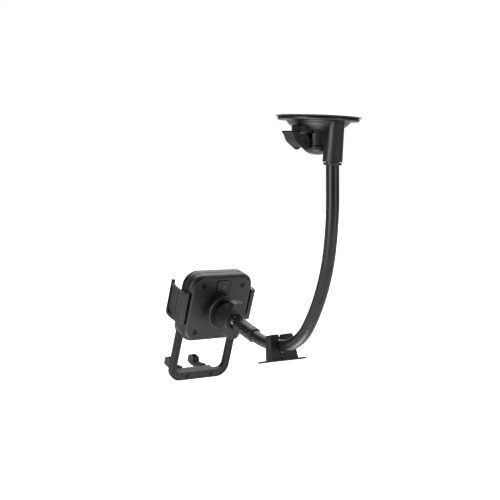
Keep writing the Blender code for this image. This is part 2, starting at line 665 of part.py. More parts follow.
# ---------------------------------------------------------------- clamp arms
def rack_teeth(length, pitch_z, direction):
    """Zigzag of rack teeth along Y, on the side that faces the gear; direction is +1 when they point up."""
    pitch = pi * GEAR_MODULE
    half = pitch / 4 - BACKLASH / 2
    rise = 0.8 * GEAR_MODULE
    root = 1.15 * GEAR_MODULE
    points = []
    half_count = int(length / pitch / 2)
    for i in range(-half_count, half_count + 1):
        centre = i * pitch
        points.append((centre - half - root * tan(PRESSURE), pitch_z - direction * root))
        points.append((centre - half + rise * tan(PRESSURE), pitch_z + direction * rise))
        points.append((centre + half - rise * tan(PRESSURE), pitch_z + direction * rise))
        points.append((centre + half + root * tan(PRESSURE), pitch_z - direction * root))
    return points


def clamp_arm(frame, name, side):
    """Strip of one clamp arm: flush with the shell's side, then a wing and a lip round the phone."""
    inner = ARM_OUT - ARM_WALL
    strip = [(STRIP_BACK, ARM_IN), (STRIP_BACK - 0.4 * MM, ARM_OUT - 1.2 * MM), (STRIP_BACK - 1.8 * MM, ARM_OUT),
             (-34.0 * MM, ARM_OUT + 0.2 * MM), (-41.0 * MM, ARM_OUT + 1.6 * MM), (ARM_TIP_X, ARM_OUT + 1.2 * MM),
             (ARM_TIP_X - 0.3 * MM, ARM_OUT - 1.4 * MM), (-42.2 * MM, ARM_OUT - 2.0 * MM),
             (-40.4 * MM, ARM_OUT - 0.6 * MM), (-34.0 * MM, inner), (RACK_FRONT - 0.6 * MM, inner),
             (RACK_FRONT - 0.6 * MM, ARM_IN)]
    rings = [[(x, side * y, h) for x, y in strip] for h in (ARM_BOTTOM, WING_TOP)]
    arm = add_object(name, loft(rings), "moulded_shell", frame)
    below = [(-36.5 * MM, ARM_BOTTOM - 0.2 * MM), (-41.5 * MM, -11.0 * MM), (-44.6 * MM, -7.0 * MM),
             (-50.0 * MM, -1.0 * MM), (-50.0 * MM, ARM_BOTTOM - 1.0 * MM), (-36.5 * MM, ARM_BOTTOM - 1.0 * MM)]
    above = [(-20.0 * MM, WING_TOP + 2.0 * MM), (-20.0 * MM, ARM_TOP), (-34.5 * MM, ARM_TOP),
             (-38.0 * MM, ARM_TOP + 0.8 * MM), (-41.2 * MM, ARM_TOP + 2.3 * MM), (ARM_TIP_X, WING_TOP - 0.3 * MM),
             (-50.0 * MM, WING_TOP + 1.0 * MM), (-50.0 * MM, WING_TOP + 2.0 * MM)]
    low, high = sorted((side * 30.0 * MM, side * 42.0 * MM))
    combine(arm, prism(below, low, high, "XZ"))
    combine(arm, prism(above, low, high, "XZ"))
    return arm


def arm_rack(arm, side):
    """Rack bar from the strip to past the gear, toothed on the gear's side."""
    up = -side                            # the left rack lies above the gear
    pitch_z = GEAR_Z + up * GEAR_PITCH_R
    teeth = rack_teeth(40.0 * MM, pitch_z, -up)
    far = GEAR_Z + up * RACK_REACH
    end = side * (ARM_IN + 1.0 * MM)
    tip = -side * 14.0 * MM
    low, high = sorted((end, tip))
    teeth = [(y, z) for y, z in teeth if low + 2.5 * MM < y < high - 2.5 * MM]
    root_z = pitch_z + up * 1.15 * GEAR_MODULE
    outline = [(low, far), (low, root_z)] + teeth + [(high, root_z), (high, far)]
    combine(arm, prism(outline, RACK_FRONT, RACK_BACK - 0.2 * MM), "UNION")


def gear_outline():
    """Involute gear teeth, thinned by the backlash."""
    base_r = GEAR_PITCH_R * cos(PRESSURE)
    tip_r = GEAR_PITCH_R + 0.8 * GEAR_MODULE
    root_r = GEAR_PITCH_R - 1.2 * GEAR_MODULE
    half_pitch = pi / (2 * GEAR_TEETH) - BACKLASH / 2 / GEAR_PITCH_R
    inv_pitch = tan(PRESSURE) - PRESSURE
    flank = []
    for i in range(4):
        radius = base_r + (tip_r - base_r) * i / 3
        pressure = 0.0 if radius <= base_r else atan2(sqrt(radius ** 2 - base_r ** 2), base_r)
        flank.append((radius, half_pitch + inv_pitch - (tan(pressure) - pressure)))
    points = []
    for tooth in range(GEAR_TEETH):
        middle = 2 * pi * (tooth + 0.5) / GEAR_TEETH
        side_points = [(root_r, flank[0][1] + 0.02)] + flank
        for radius, a in side_points:
            points.append((radius, middle - a))
        for radius, a in side_points[::-1]:
            points.append((radius, middle + a))
    return [(r * cos(a), GEAR_Z + r * sin(a)) for r, a in points]


def drive_gear(frame):
    gear = add_object("drive_gear", prism(gear_outline(), RACK_FRONT, RACK_BACK - 0.4 * MM),
                      "satin_trim", frame, origin=(0.0, 0.0, GEAR_Z))
    combine(gear, rod(1.8 * MM + GAP, RACK_FRONT - 1.0 * MM, RACK_BACK + 1.0 * MM, "X",
                      (0.0, 0.0, GEAR_Z), 16))


def arm_pad(frame, name, side):
    wall = ARM_OUT - ARM_WALL - GAP
    outline = [(-36.9 * MM, side * (wall + 0.7 * MM)), (-40.2 * MM, side * (wall + 1.5 * MM)),
               (-40.2 * MM, side * (wall + 0.1 * MM)), (-36.9 * MM, side * (wall - 0.8 * MM))]
    add_object(name, prism(outline, -5.0 * MM, ARM_TOP - 1.5 * MM, "XY"), "soft_rubber", frame)


def clamp_arms(frame):
    for name, side in (("left", -1), ("right", 1)):
        arm = clamp_arm(frame, name + "_arm", side)
        arm_rack(arm, side)
        arm_pad(frame, name + "_arm_pad", side)


# ---------------------------------------------------------------- button and bottom support
def release_button(frame):
    mid = (BUTTON_TOP + BUTTON_BOTTOM) / 2
    half = (BUTTON_TOP - BUTTON_BOTTOM) / 2
    outline = [(y, z + mid) for y, z in rounded(BUTTON_HALF_Y, half, 2.0 * MM, 3)]
    button = add_object("release_button", prism(outline, BACK_X - 1.6 * MM, BACK_X + 0.5 * MM),
                        "satin_trim", frame)
    for i in (-1, 0, 1):
        z = mid + i * 2.4 * MM
        combine(button, box((BACK_X + 0.3 * MM, -5.2 * MM, z - 0.3 * MM),
                            (BACK_X + 1.0 * MM, 5.2 * MM, z + 0.3 * MM)))


def button_spring(frame):
    """Coil that pushes the button out, seated in the front cover."""
    mid = (BUTTON_TOP + BUTTON_BOTTOM) / 2
    spring = coil(1.7 * MM, 0.3 * MM, 5.0, 0.0, 1.0, 5, 8)
    low = FRONT_X + 1.5 * MM + GAP + 0.3 * MM
    high = BACK_X - 1.6 * MM - GAP - 0.3 * MM
    for vert in spring.verts:
        turn, rest = vert.co.z, vert.co
        vert.co = Vector((low + (high - low) * turn, rest.x, rest.y + mid))
    add_object("button_spring", spring, "bright_steel", frame)


def support_frame(frame):
    outer_r = 11.0 * MM
    inner_r = outer_r - LEG_WIDE
    inner_y = LEG_OUT - LEG_WIDE
    right = arc((LEG_OUT - outer_r, BAR_BOTTOM + outer_r), outer_r, 0, -90, 6)
    left = [(-y, z) for y, z in right[::-1]]
    inner_left = arc((-inner_y + inner_r, BAR_TOP + inner_r), inner_r, 270, 180, 5)
    inner_right = [(-y, z) for y, z in inner_left[::-1]]
    outline = [(LEG_OUT, LEG_TOP)] + right + left + [(-LEG_OUT, LEG_TOP), (-inner_y, LEG_TOP)]
    outline += inner_left[::-1] + inner_right[::-1] + [(inner_y, LEG_TOP)]
    body = add_object("support_frame", prism(outline, LEG_BACK - LEG_DEEP, LEG_BACK), "moulded_shell",
                      frame)
    shelf = box((SHELF_X, -SHELF_HALF, BAR_BOTTOM + 0.6 * MM),
                (LEG_BACK - LEG_DEEP + 1.0 * MM, SHELF_HALF, BAR_TOP))
    combine(body, shelf, "UNION")
    for side in (1, -1):
        centre = (0.0, side * FOOT_Y, (BAR_TOP + BAR_BOTTOM) / 2)
        combine(body, rod(1.9 * MM, LEG_BACK - 1.6 * MM, LEG_BACK + 1.0 * MM, "X", centre, 14))
        combine(body, rod(1.2 * MM, SHELF_X - 1.0 * MM, LEG_BACK + 1.0 * MM, "X", centre, 12))


def support_foot(frame, name, side):
    """Foot that keeps the phone's lower edge in: an arm forwards and down, with a block at its tip."""
    back = SHELF_X - GAP
    middle = (BAR_TOP + BAR_BOTTOM) / 2
    thick = 2.8 * MM
    (near_x, near_z), (far_x, far_z) = FOOT_TOP
    outline = [(back, middle - 3.4 * MM), (back, near_z), (near_x, near_z), (far_x, far_z),
               (far_x - 1.0 * MM, FOOT_HOOK_Z - 1.2 * MM), (far_x - 2.4 * MM, FOOT_HOOK_Z),
               (FOOT_TIP_X + 1.4 * MM, FOOT_HOOK_Z), (FOOT_TIP_X, FOOT_HOOK_Z - 1.4 * MM),
               (FOOT_TIP_X, far_z - 1.8 * MM), (FOOT_TIP_X + 2.4 * MM, far_z - thick),
               (far_x, far_z - thick), (near_x - 2.0 * MM, middle - 3.4 * MM)]
    y = side * FOOT_Y
    foot = add_object(name, prism(outline, y - FOOT_HALF, y + FOOT_HALF, "XZ"), "moulded_shell", frame)
    combine(foot, rod(1.2 * MM, -43.5 * MM, back + 1.0 * MM, "X", (0.0, y, middle), 12))


def foot_pad(frame, name, side):
    """Strip of rubber lying on the sloping top of the foot."""
    (near_x, near_z), (far_x, far_z) = FOOT_TOP
    slope = (near_z - far_z) / (near_x - far_x)
    ends = [near_x - 0.6 * MM, far_x + 0.8 * MM]
    low = [(x, near_z + slope * (x - near_x) + GAP + 0.05 * MM) for x in ends]
    outline = low + [(x, z + 1.0 * MM) for x, z in low[::-1]]
    y = side * FOOT_Y
    half = FOOT_HALF - 0.5 * MM
    pad = add_object(name, prism(outline, y - half, y + half, "XZ"), "soft_rubber", frame)
    bevel(pad, 0.3 * MM, 1)


def foot_screw(frame, name, side):
    centre = (0.0, side * FOOT_Y, (BAR_TOP + BAR_BOTTOM) / 2)
    seat = LEG_BACK - 1.6 * MM + GAP
    profile = [(1.6 * MM, seat + 0.9 * MM), (1.6 * MM, seat), (0.9 * MM, seat), (0.9 * MM, -42.5 * MM)]
    add_object(name, turned(profile, "X", centre, 12, closed=False), "bright_steel", frame)


# ---------------------------------------------------------------- assembly
def build():
    clear_scene()
    suction_membrane()
    base_housing()
    barrel_cap()
    plunger()
    plunger_spring()
    cam_lever()
    lever_pin()
    neck_collar()
    bendable_neck()
    dash_clip()
    frame = add_empty("cradle_frame", CRADLE)
    ball_stud(frame)
    neck_ferrule(frame)
    ball_liners(frame)
    wing_nut(frame)
    rear_cover(frame)
    cover_screws(frame)
    front_cover(frame)
    front_pad(frame)
    clamp_arms(frame)
    drive_gear(frame)
    release_button(frame)
    button_spring(frame)
    support_frame(frame)
    for name, side in (("left", -1), ("right", 1)):
        support_foot(frame, name + "_foot", side)
        foot_pad(frame, name + "_foot_pad", side)
        foot_screw(frame, name + "_foot_screw", side)
    bpy.context.view_layer.update()


build()
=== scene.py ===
"""Looks of the car phone mount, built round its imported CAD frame.

Shapes are written in millimetres and scaled to metres as each piece is placed.
"""
import json
from math import asin, atan2, cos, degrees, pi, radians, sin, sqrt, tan

import bmesh
import bpy
from mathutils import Matrix, Vector


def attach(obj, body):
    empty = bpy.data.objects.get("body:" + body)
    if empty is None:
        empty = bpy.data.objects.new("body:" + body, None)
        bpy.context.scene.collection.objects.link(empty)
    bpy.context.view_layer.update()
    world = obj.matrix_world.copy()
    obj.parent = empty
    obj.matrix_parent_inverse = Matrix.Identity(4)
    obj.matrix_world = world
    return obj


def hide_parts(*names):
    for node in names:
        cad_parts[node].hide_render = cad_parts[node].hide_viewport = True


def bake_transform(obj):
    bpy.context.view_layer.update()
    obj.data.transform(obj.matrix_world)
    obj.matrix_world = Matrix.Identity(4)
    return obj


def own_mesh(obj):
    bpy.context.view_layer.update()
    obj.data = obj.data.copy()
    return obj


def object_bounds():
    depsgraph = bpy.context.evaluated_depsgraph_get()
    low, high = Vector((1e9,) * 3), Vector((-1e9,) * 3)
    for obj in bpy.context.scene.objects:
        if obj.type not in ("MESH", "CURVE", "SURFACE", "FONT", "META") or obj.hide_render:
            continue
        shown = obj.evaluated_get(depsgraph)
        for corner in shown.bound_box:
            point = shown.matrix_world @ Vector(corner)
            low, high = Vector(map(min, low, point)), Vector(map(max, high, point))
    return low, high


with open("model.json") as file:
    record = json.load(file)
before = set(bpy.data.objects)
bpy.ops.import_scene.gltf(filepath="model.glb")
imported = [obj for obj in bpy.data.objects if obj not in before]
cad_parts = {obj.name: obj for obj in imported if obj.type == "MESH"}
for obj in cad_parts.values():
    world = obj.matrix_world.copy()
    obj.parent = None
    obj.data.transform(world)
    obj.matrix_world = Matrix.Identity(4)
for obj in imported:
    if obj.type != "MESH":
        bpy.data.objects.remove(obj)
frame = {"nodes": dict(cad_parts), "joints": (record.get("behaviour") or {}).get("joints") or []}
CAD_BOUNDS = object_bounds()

MM = 0.001
FINE = 96    # sides of a large turned shape
GAP = 0.3    # left between neighbours
POLE_R = 0.05    # where a turned shape closes on its axis
JOINTS = {joint["name"]: joint for joint in frame["joints"]}
BALL = Vector(JOINTS["ball_tilt"]["pos_m"])
OUT = Vector(JOINTS["cradle_spin"]["axis"]).normalized()
UP = Vector(JOINTS["ball_pan"]["axis"]).normalized()
SIDE = Vector((0.0, 1.0, 0.0))
WORLD = Matrix.Scale(MM, 4)    # places a shape drawn in the world's axes
CRADLE = Matrix((
    (OUT.x, SIDE.x, UP.x, BALL.x),
    (OUT.y, SIDE.y, UP.y, BALL.y),
    (OUT.z, SIDE.z, UP.z, BALL.z),
    (0.0, 0.0, 0.0, 1.0),
)) @ WORLD    # places one drawn in the cradle's axes

# Suction base, millimetres
DISC_R = 32.0
FLANGE_R = 30.7
FLANGE_BOTTOM = -3.4
RIM_TOP = -1.5
BOWL_WALL = 1.6
BOWL = [(30.0, -3.4), (25.0, -3.5), (22.2, -6.4), (18.0, -9.4), (13.4, -11.6), (10.1, -12.4)]
BARREL_R = 10.1
BARREL_BORE = 8.3
BARREL_BOTTOM = -22.0
CAP_R = 10.6
CAP_BOTTOM = -28.7
CAP_FLOOR = CAP_BOTTOM + 1.6
SLOT_HALF = 4.3
SLOT_TOP = -14.2
PIN_Y = JOINTS["lever_swing"]["pos_m"][1] / MM
PIN_Z = JOINTS["lever_swing"]["pos_m"][2] / MM
PIN_R = 1.2
PIN_HOLE_R = 1.5
ARM_HALF = 3.9
ARM_END_R = 3.0
LEVER_HALF = 5.9
CAM_PAD_Z = -13.1
CAM_HEIGHT = -PIN_Z + CAM_PAD_Z - GAP
CAM_FALL = 2.4 / radians(75.0)    # plunger lift over lever swing
WEB_HALF = 3.6
WEB_BOTTOM = -31.5
SOCKET_X = 17.9
SOCKET_R = 7.4
SOCKET_TOP_X = 19.6
SOCKET_TOP_R = 6.6
SOCKET_TOP = -3.2
SOCKET_BOTTOM = -33.6
COLLAR_R = 6.8
COLLAR_BOTTOM = -36.1

# Neck, as stretches of (length, turn in degrees)
NECK_R = 4.9
NECK_START = (18.1, -34.3)
NECK_HEADING = -86.0
NECK_RUNS = [(25.0, 0.0), (40.7, -10.25), (63.7, -25.9), (33.8, -45.65), (40.7, -28.2), (33.5, 0.0)]
NECK_LENGTH = sum(run[0] for run in NECK_RUNS)
BENDS = (48.0, 117.0, 190.5)
BEND_SPREAD = 11.0    # half length of the sleeve that bends at each hinge
CLIP_AT = 169.2
CLIP_LEAN = radians(-8.0)
CLIP_BORE = 5.9
CLIP_THROAT = 2.2
CLIP_MOUTH = 4.0
CLIP_EAR = 9.0
CLIP_FOOT = -12.2
CLIP_TOP_HALF = 10.9
CLIP_BASE_HALF = 13.6

# Ball joint and cradle, in the cradle's own frame: X along the stud, Y sideways, Z up the phone
BALL_R = 6.0
STEM_R = 2.7
LINER_R = 6.3
LINER_OUT_R = 7.2
SEAT_R = 7.5
TUBE_R = 8.6
NUT_BORE = 8.9
NUT_R = 10.6
NUT_FRONT = 5.6
NUT_BACK = -9.6
WING_R = 16.6
WING_BACK = -1.6
FERRULE_R = 6.2
FERRULE_START = 10.0
FERRULE_END = 33.5
BACK_X = -21.1
SHOULDER_X = -24.6
PART_X = -29.2
FRONT_X = -36.3
SHELL_Y = 32.3
SHELL_Z = 30.4
CORNER_R = 12.5
WALL = 1.4
BOSS_R = 14.8
BOSS_BASE_R = 12.4
BOSS_FRONT = -12.5
SCREW_HOLE_R = 1.2
ARM_TOP = 15.1
ARM_BOTTOM = -13.0
ARM_OUT = 37.0
ARM_IN = 32.3
STRIP_BACK = -22.2
ARM_POCKET = 30.0
WING_TOP = 19.8
ARM_TIP_X = -44.0
RACK_BACK = -24.9
RACK_FRONT = -28.3
GEAR_Z = 1.0
GEAR_PITCH_R = 4.8
MODULE = 0.8
BUTTON_Y = 6.0
BUTTON_TOP = 25.6
BUTTON_BOTTOM = 16.6
BUTTON_DEEP = 1.6
LEG_OUT = 30.5
LEG_WIDE = 5.6
LEG_BACK = -29.8
LEG_DEEP = 4.6
LEG_TOP = -8.5
FRAME_R = 11.0
BAR_TOP = -64.1
BAR_BOTTOM = -71.7
FOOT_Y = 12.5
FOOT_HALF = 3.4
SHELF_X = -38.5
SHELF_HALF = 16.0
FOOT_TOP = ((-42.0, -66.0), (-54.3, -69.6))
FOOT_HOOK_Z = -64.6
FOOT_TIP_X = -63.8


# ---- mesh helpers
def loft(rings, closed=False, caps=True):
    """Skin over rings of equal count; closed joins the last ring to the first."""
    bm = bmesh.new()
    rows = [[bm.verts.new(p) for p in ring] for ring in rings]
    count = len(rows[0])
    last = len(rows) if closed else len(rows) - 1
    for i in range(last):
        low, high = rows[i], rows[(i + 1) % len(rows)]
        for j in range(count):
            k = (j + 1) % count
            bm.faces.new((low[j], low[k], high[k], high[j]))
    if caps and not closed:
        bm.faces.new(rows[0])
        bm.faces.new(rows[-1])
    return bm


def turned(profile, axis="Z", centre=(0.0, 0.0, 0.0), sides=FINE, closed=True):
    """Profile of (radius, height) points turned about an axis."""
    rings = []
    for radius, height in profile:
        ring = []
        for i in range(sides):
            a = 2.0 * pi * i / sides
            u, w = radius * cos(a), radius * sin(a)
            point = {"X": (height, u, w), "Y": (w, height, u), "Z": (u, w, height)}[axis]
            ring.append(Vector(centre) + Vector(point))
        rings.append(ring)
    return loft(rings, closed)


def rod(radius, low, high, axis="Z", centre=(0.0, 0.0, 0.0), sides=32):
    return turned([(radius, low), (radius, high)], axis, centre, sides, closed=False)


def box(a, b):
    bm = bmesh.new()
    bmesh.ops.create_cube(bm, size=1.0)
    low = Vector([min(pair) for pair in zip(a, b)])
    high = Vector([max(pair) for pair in zip(a, b)])
    for vert in bm.verts:
        vert.co = low + Vector([(vert.co[i] + 0.5) * (high - low)[i] for i in range(3)])
    return bm


def prism(outline, low, high, plane="YZ"):
    """Flat outline drawn in a plane and pulled out between two heights."""
    place = {
        "YZ": lambda u, v, h: (h, u, v),
        "XZ": lambda u, v, h: (u, h, v),
        "XY": lambda u, v, h: (u, v, h),
    }[plane]
    low, high = min(low, high), max(low, high)
    return loft([[place(u, v, h) for u, v in outline] for h in (low, high)])


def arc(centre, radius, start, end, steps):
    """Points on a circle from one angle to another, in degrees."""
    out = []
    for i in range(steps + 1):
        a = radians(start + (end - start) * i / steps)
        out.append((centre[0] + radius * cos(a), centre[1] + radius * sin(a)))
    return out


def rounded(half_y, half_z, radius, steps=10):
    out = []
    for sy, sz, start in ((1, 1, 0), (-1, 1, 90), (-1, -1, 180), (1, -1, 270)):
        centre = (sy * (half_y - radius), sz * (half_z - radius))
        out += arc(centre, radius, start, start + 90, steps)
    return out


def smooth_line(points, steps=5):
    """Catmull-Rom curve through flat points."""
    out = []
    for i in range(len(points) - 1):
        p0 = Vector(points[max(i - 1, 0)])
        p1 = Vector(points[i])
        p2 = Vector(points[i + 1])
        p3 = Vector(points[min(i + 2, len(points) - 1)])
        for k in range(steps):
            t = k / steps
            a = 2.0 * p1 + (p2 - p0) * t
            b = (2.0 * p0 - 5.0 * p1 + 4.0 * p2 - p3) * t * t
            c = (3.0 * p1 - p0 - 3.0 * p2 + p3) * t ** 3
            out.append(tuple((a + b + c) * 0.5))
    out.append(tuple(points[-1]))
    return out


def fillet(corner, before, after, radius, steps=4):
    """Points that round a corner of a flat outline."""
    corner, before, after = Vector(corner), Vector(before), Vector(after)
    u = (before - corner).normalized()
    v = (after - corner).normalized()
    start, end = corner + u * radius, corner + v * radius
    out = []
    for i in range(steps + 1):
        t = i / steps
        out.append(tuple(start * (1 - t) ** 2 + corner * 2 * t * (1 - t) + end * t * t))
    return out


def round_outline(points, radius, steps=4):
    """Round every corner of a closed outline, by one radius or one for each corner."""
    radii = radius if isinstance(radius, (list, tuple)) else [radius] * len(points)
    out = []
    for i, point in enumerate(points):
        if radii[i] <= 0.0:
            out.append(tuple(point))
        else:
            out += fillet(point, points[i - 1], points[(i + 1) % len(points)], radii[i], steps)
    return out


def coil(radius, wire, turns, low, high, sides=10, per_turn=40):
    """Round wire wound into a helix between two heights."""
    rings = []
    steps = int(turns * per_turn)
    for i in range(steps + 1):
        t = i / steps
        a = 2 * pi * turns * t
        centre = Vector((radius * cos(a), radius * sin(a), low + (high - low) * t))
        out = Vector((cos(a), sin(a), 0.0))
        ring = []
        for j in range(sides):
            b = 2 * pi * j / sides
            ring.append(centre + out * wire * cos(b) + Vector((0.0, 0.0, wire * sin(b))))
        rings.append(ring)
    return loft(rings)


def sphere_profile(radius, start, end, steps):
    """Profile of a sphere between two angles from the axis, in degrees."""
    out = []
    for i in range(steps + 1):
        a = radians(start + (end - start) * i / steps)
        out.append((radius * sin(a), radius * cos(a)))
    return out


def temp_object(name, bm):
    """Object made from a mesh in progress, welded and with its normals out."""
    bmesh.ops.remove_doubles(bm, verts=bm.verts, dist=1e-4)
    bmesh.ops.recalc_face_normals(bm, faces=bm.faces)
    mesh = bpy.data.meshes.new(name)
    bm.to_mesh(mesh)
    bm.free()
    obj = bpy.data.objects.new(name, mesh)
    bpy.context.scene.collection.objects.link(obj)
    return obj


def baked(obj):
    """Mesh of obj with its modifiers applied."""
    depsgraph = bpy.context.evaluated_depsgraph_get()
    mesh = bpy.data.meshes.new_from_object(
        obj.evaluated_get(depsgraph), preserve_all_data_layers=True, depsgraph=depsgraph)
    old = obj.data
    obj.modifiers.clear()
    obj.data = mesh
    bpy.data.meshes.remove(old)


def cut_and_joined(obj, joins, cuts):
    """Add the Booleans that join and cut; the meshes they use are returned."""
    tools = []
    for operation, group in (("UNION", joins), ("DIFFERENCE", cuts)):
        for part in group:
            tool = temp_object(obj.name + "_tool", part)
            modifier = obj.modifiers.new("shape", "BOOLEAN")
            modifier.operation = operation
            modifier.solver = "EXACT"
            modifier.object = tool
            tools.append(tool)
    return tools


def shaped(name, bm, joins=(), cuts=(), edge=0.25, segments=2, limit=32.0, place=WORLD):
    """One mesh object: bm with others joined on or cut away, its edges rounded, put in place in metres."""
    obj = temp_object(name, bm)
    tools = cut_and_joined(obj, joins, cuts)
    if edge:
        modifier = obj.modifiers.new("edges", "BEVEL")
        modifier.width = edge
        modifier.segments = segments
        modifier.limit_method = "ANGLE"
        modifier.angle_limit = radians(limit)
        modifier.miter_outer = "MITER_ARC"
    baked(obj)
    for tool in tools:
        mesh = tool.data
        bpy.data.objects.remove(tool)
        bpy.data.meshes.remove(mesh)
    obj.data.transform(place)
    obj.data.shade_smooth()
    obj.data.set_sharp_from_angle(angle=radians(38.0))
    modifier = obj.modifiers.new("normals", "WEIGHTED_NORMAL")
    modifier.keep_sharp = True
    baked(obj)
    return obj


def dress(obj, material, body, nodes=()):
    """Give a piece its material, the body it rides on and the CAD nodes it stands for."""
    obj.data.materials.clear()
    obj.data.materials.append(material)
    if body:
        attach(obj, body)
    if nodes:
        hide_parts(*nodes)
    return obj


# ---- materials
def node(tree, kind, **inputs):
    """New shader node with some inputs set; an underscore stands for a space in an input's name."""
    made = tree.nodes.new(kind)
    for key, value in inputs.items():
        made.inputs[key.replace("_", " ")].default_value = value
    return made


def base_material(name, roughness, metallic=0.0, specular=0.5, coat=0.0):
    material = bpy.data.materials.new(name)
    material.use_nodes = True
    tree = material.node_tree
    shader = tree.nodes["Principled BSDF"]
    values = {"Roughness": roughness, "Metallic": metallic, "Specular IOR Level": specular,
              "Coat Weight": coat, "Coat Roughness": 0.12}
    for key, value in values.items():
        shader.inputs[key].default_value = value
    coords = tree.nodes.new("ShaderNodeTexCoord")
    return material, tree, shader, coords


def noise(tree, coords, scale, detail=3.0, stretch=(1.0, 1.0, 1.0)):
    mapping = node(tree, "ShaderNodeMapping", Scale=stretch)
    texture = node(tree, "ShaderNodeTexNoise", Scale=scale, Detail=detail)
    tree.links.new(coords.outputs["Object"], mapping.inputs["Vector"])
    tree.links.new(mapping.outputs["Vector"], texture.inputs["Vector"])
    return texture.outputs["Fac"]


def ramp(tree, source, low, high, place=(0.35, 0.65)):
    made = tree.nodes.new("ShaderNodeValToRGB")
    for element, position, colour in zip(made.color_ramp.elements, place, (low, high)):
        element.position = position
        element.color = (*colour, 1.0)
    tree.links.new(source, made.inputs["Fac"])
    return made.outputs["Color"]


def spread(tree, source, low, high):
    made = node(tree, "ShaderNodeMapRange", From_Min=0.3, From_Max=0.7, To_Min=low, To_Max=high)
    tree.links.new(source, made.inputs["Value"])
    return made.outputs["Result"]


def bump(tree, shader, height, strength, distance, after=None):
    made = node(tree, "ShaderNodeBump", Strength=strength, Distance=distance)
    tree.links.new(height, made.inputs["Height"])
    if after:
        tree.links.new(after.outputs["Normal"], made.inputs["Normal"])
    tree.links.new(made.outputs["Normal"], shader.inputs["Normal"])
    return made


def grey(value, tint=0.0):
    return (value, value, value * (1.0 + tint))


def mottled(made, scale, dark, light):
    """Base colour that drifts between two greys."""
    tree, shader, coords = made[1:]
    colour = ramp(tree, noise(tree, coords, scale), dark, light)
    tree.links.new(colour, shader.inputs["Base Color"])


def worn(made, scale, low, high, detail=4.0):
    """Roughness that drifts between two values."""
    tree, shader, coords = made[1:]
    rough = spread(tree, noise(tree, coords, scale, detail), low, high)
    tree.links.new(rough, shader.inputs["Roughness"])


def grained(made, scale, strength, distance, detail=2.0, stretch=(1.0, 1.0, 1.0), after=None):
    """Fine relief, on top of an earlier relief if one is given."""
    tree, shader, coords = made[1:]
    return bump(tree, shader, noise(tree, coords, scale, detail, stretch), strength, distance, after)


def moulded_plastic():
    made = base_material("moulded_black_plastic", 0.4, specular=0.5)
    mottled(made, 45.0, grey(0.007), grey(0.0105, 0.04))
    worn(made, 160.0, 0.3, 0.4)
    first = grained(made, 2600.0, 0.16, 0.0002)
    grained(made, 35.0, 0.05, 0.0006, after=first)
    return made[0]


def satin_plastic():
    made = base_material("satin_black_plastic", 0.27, specular=0.55)
    mottled(made, 60.0, grey(0.007), grey(0.011, 0.05))
    worn(made, 260.0, 0.22, 0.32, 5.0)
    grained(made, 1800.0, 0.05, 0.0001)
    return made[0]


def sleeve_plastic():
    made = base_material("neck_sleeve_black", 0.34, specular=0.5)
    mottled(made, 30.0, grey(0.007), grey(0.011, 0.05))
    worn(made, 120.0, 0.25, 0.33)
    first = grained(made, 1500.0, 0.1, 0.0002, 3.0)
    grained(made, 90.0, 0.06, 0.0005, 1.0, after=first)
    return made[0]


def dull_plastic():
    made = base_material("dull_black_plastic", 0.45, specular=0.3)
    mottled(made, 60.0, grey(0.006), grey(0.009, 0.05))
    worn(made, 260.0, 0.4, 0.5, 5.0)
    grained(made, 1800.0, 0.08, 0.0001)
    return made[0]


def soft_rubber():
    made = base_material("soft_black_rubber", 0.68, specular=0.35)
    mottled(made, 70.0, grey(0.011), grey(0.02, 0.02))
    worn(made, 400.0, 0.6, 0.78)
    grained(made, 2200.0, 0.2, 0.00025)
    return made[0]


def cup_rubber():
    made = base_material("suction_disc_rubber", 0.3, specular=0.5, coat=0.25)
    mottled(made, 40.0, grey(0.012), grey(0.017, 0.03))
    worn(made, 180.0, 0.26, 0.36, 3.0)
    grained(made, 120.0, 0.05, 0.0005)
    return made[0]


def screw_steel():
    made = base_material("dark_plated_steel", 0.32, metallic=1.0)
    mottled(made, 300.0, grey(0.03, 0.06), grey(0.05, 0.06))
    worn(made, 900.0, 0.26, 0.4)
    grained(made, 1400.0, 0.1, 0.0001, 2.0, (1.0, 8.0, 1.0))
    return made[0]


def spring_steel():
    made = base_material("bright_spring_steel", 0.25, metallic=1.0)
    mottled(made, 200.0, grey(0.5, 0.03), grey(0.62, 0.03))
    worn(made, 700.0, 0.2, 0.32)
    return made[0]


def ball_plastic():
    made = base_material("polished_black_ball", 0.12, specular=0.6, coat=0.4)
    mottled(made, 80.0, grey(0.011), grey(0.015, 0.05))
    worn(made, 500.0, 0.09, 0.17)
    return made[0]


PLASTIC = moulded_plastic()
SATIN = satin_plastic()
DULL = dull_plastic()
SLEEVE = sleeve_plastic()
RUBBER = soft_rubber()
CUP = cup_rubber()
SCREW = screw_steel()
SPRING = spring_steel()
GLOSS = ball_plastic()


# ---- suction base
def suction_disc():
    """Rubber disc, dished towards the glass, with the boss that the plunger pulls behind it."""
    edge = [(DISC_R - 0.5, 0.0), (DISC_R - 0.15, -0.15), (DISC_R, -0.5),
            (DISC_R - 0.15, -0.95), (DISC_R - 0.5, -1.1)]
    top = smooth_line([(0.3, -3.6), (9.0, -3.3), (18.0, -1.9), (24.6, -0.35), (26.5, 0.0)], 6)
    under = [(26.0, -1.4), (18.0, -3.6), (9.0, -5.0), (4.6, -5.2), (4.6, -7.2), (0.3, -7.2)]
    profile = top + edge + under
    disc = shaped("suction_disc", turned(profile, closed=False), edge=0)
    dress(disc, CUP, "suction_base", ["suction_membrane"])
    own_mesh(disc)


def socket_section(centre_x, radius, height, sides=72):
    """Round section drawn out to a soft ridge on the side away from the barrel."""
    flat = radians(24.0)
    ring = []
    for i in range(sides):
        a = 2 * pi * i / sides
        away = (a + pi) % (2 * pi) - pi
        reach = radius / cos(flat - abs(away)) if abs(away) < flat else radius
        ring.append((centre_x + reach * cos(a), reach * sin(a), height))
    return ring


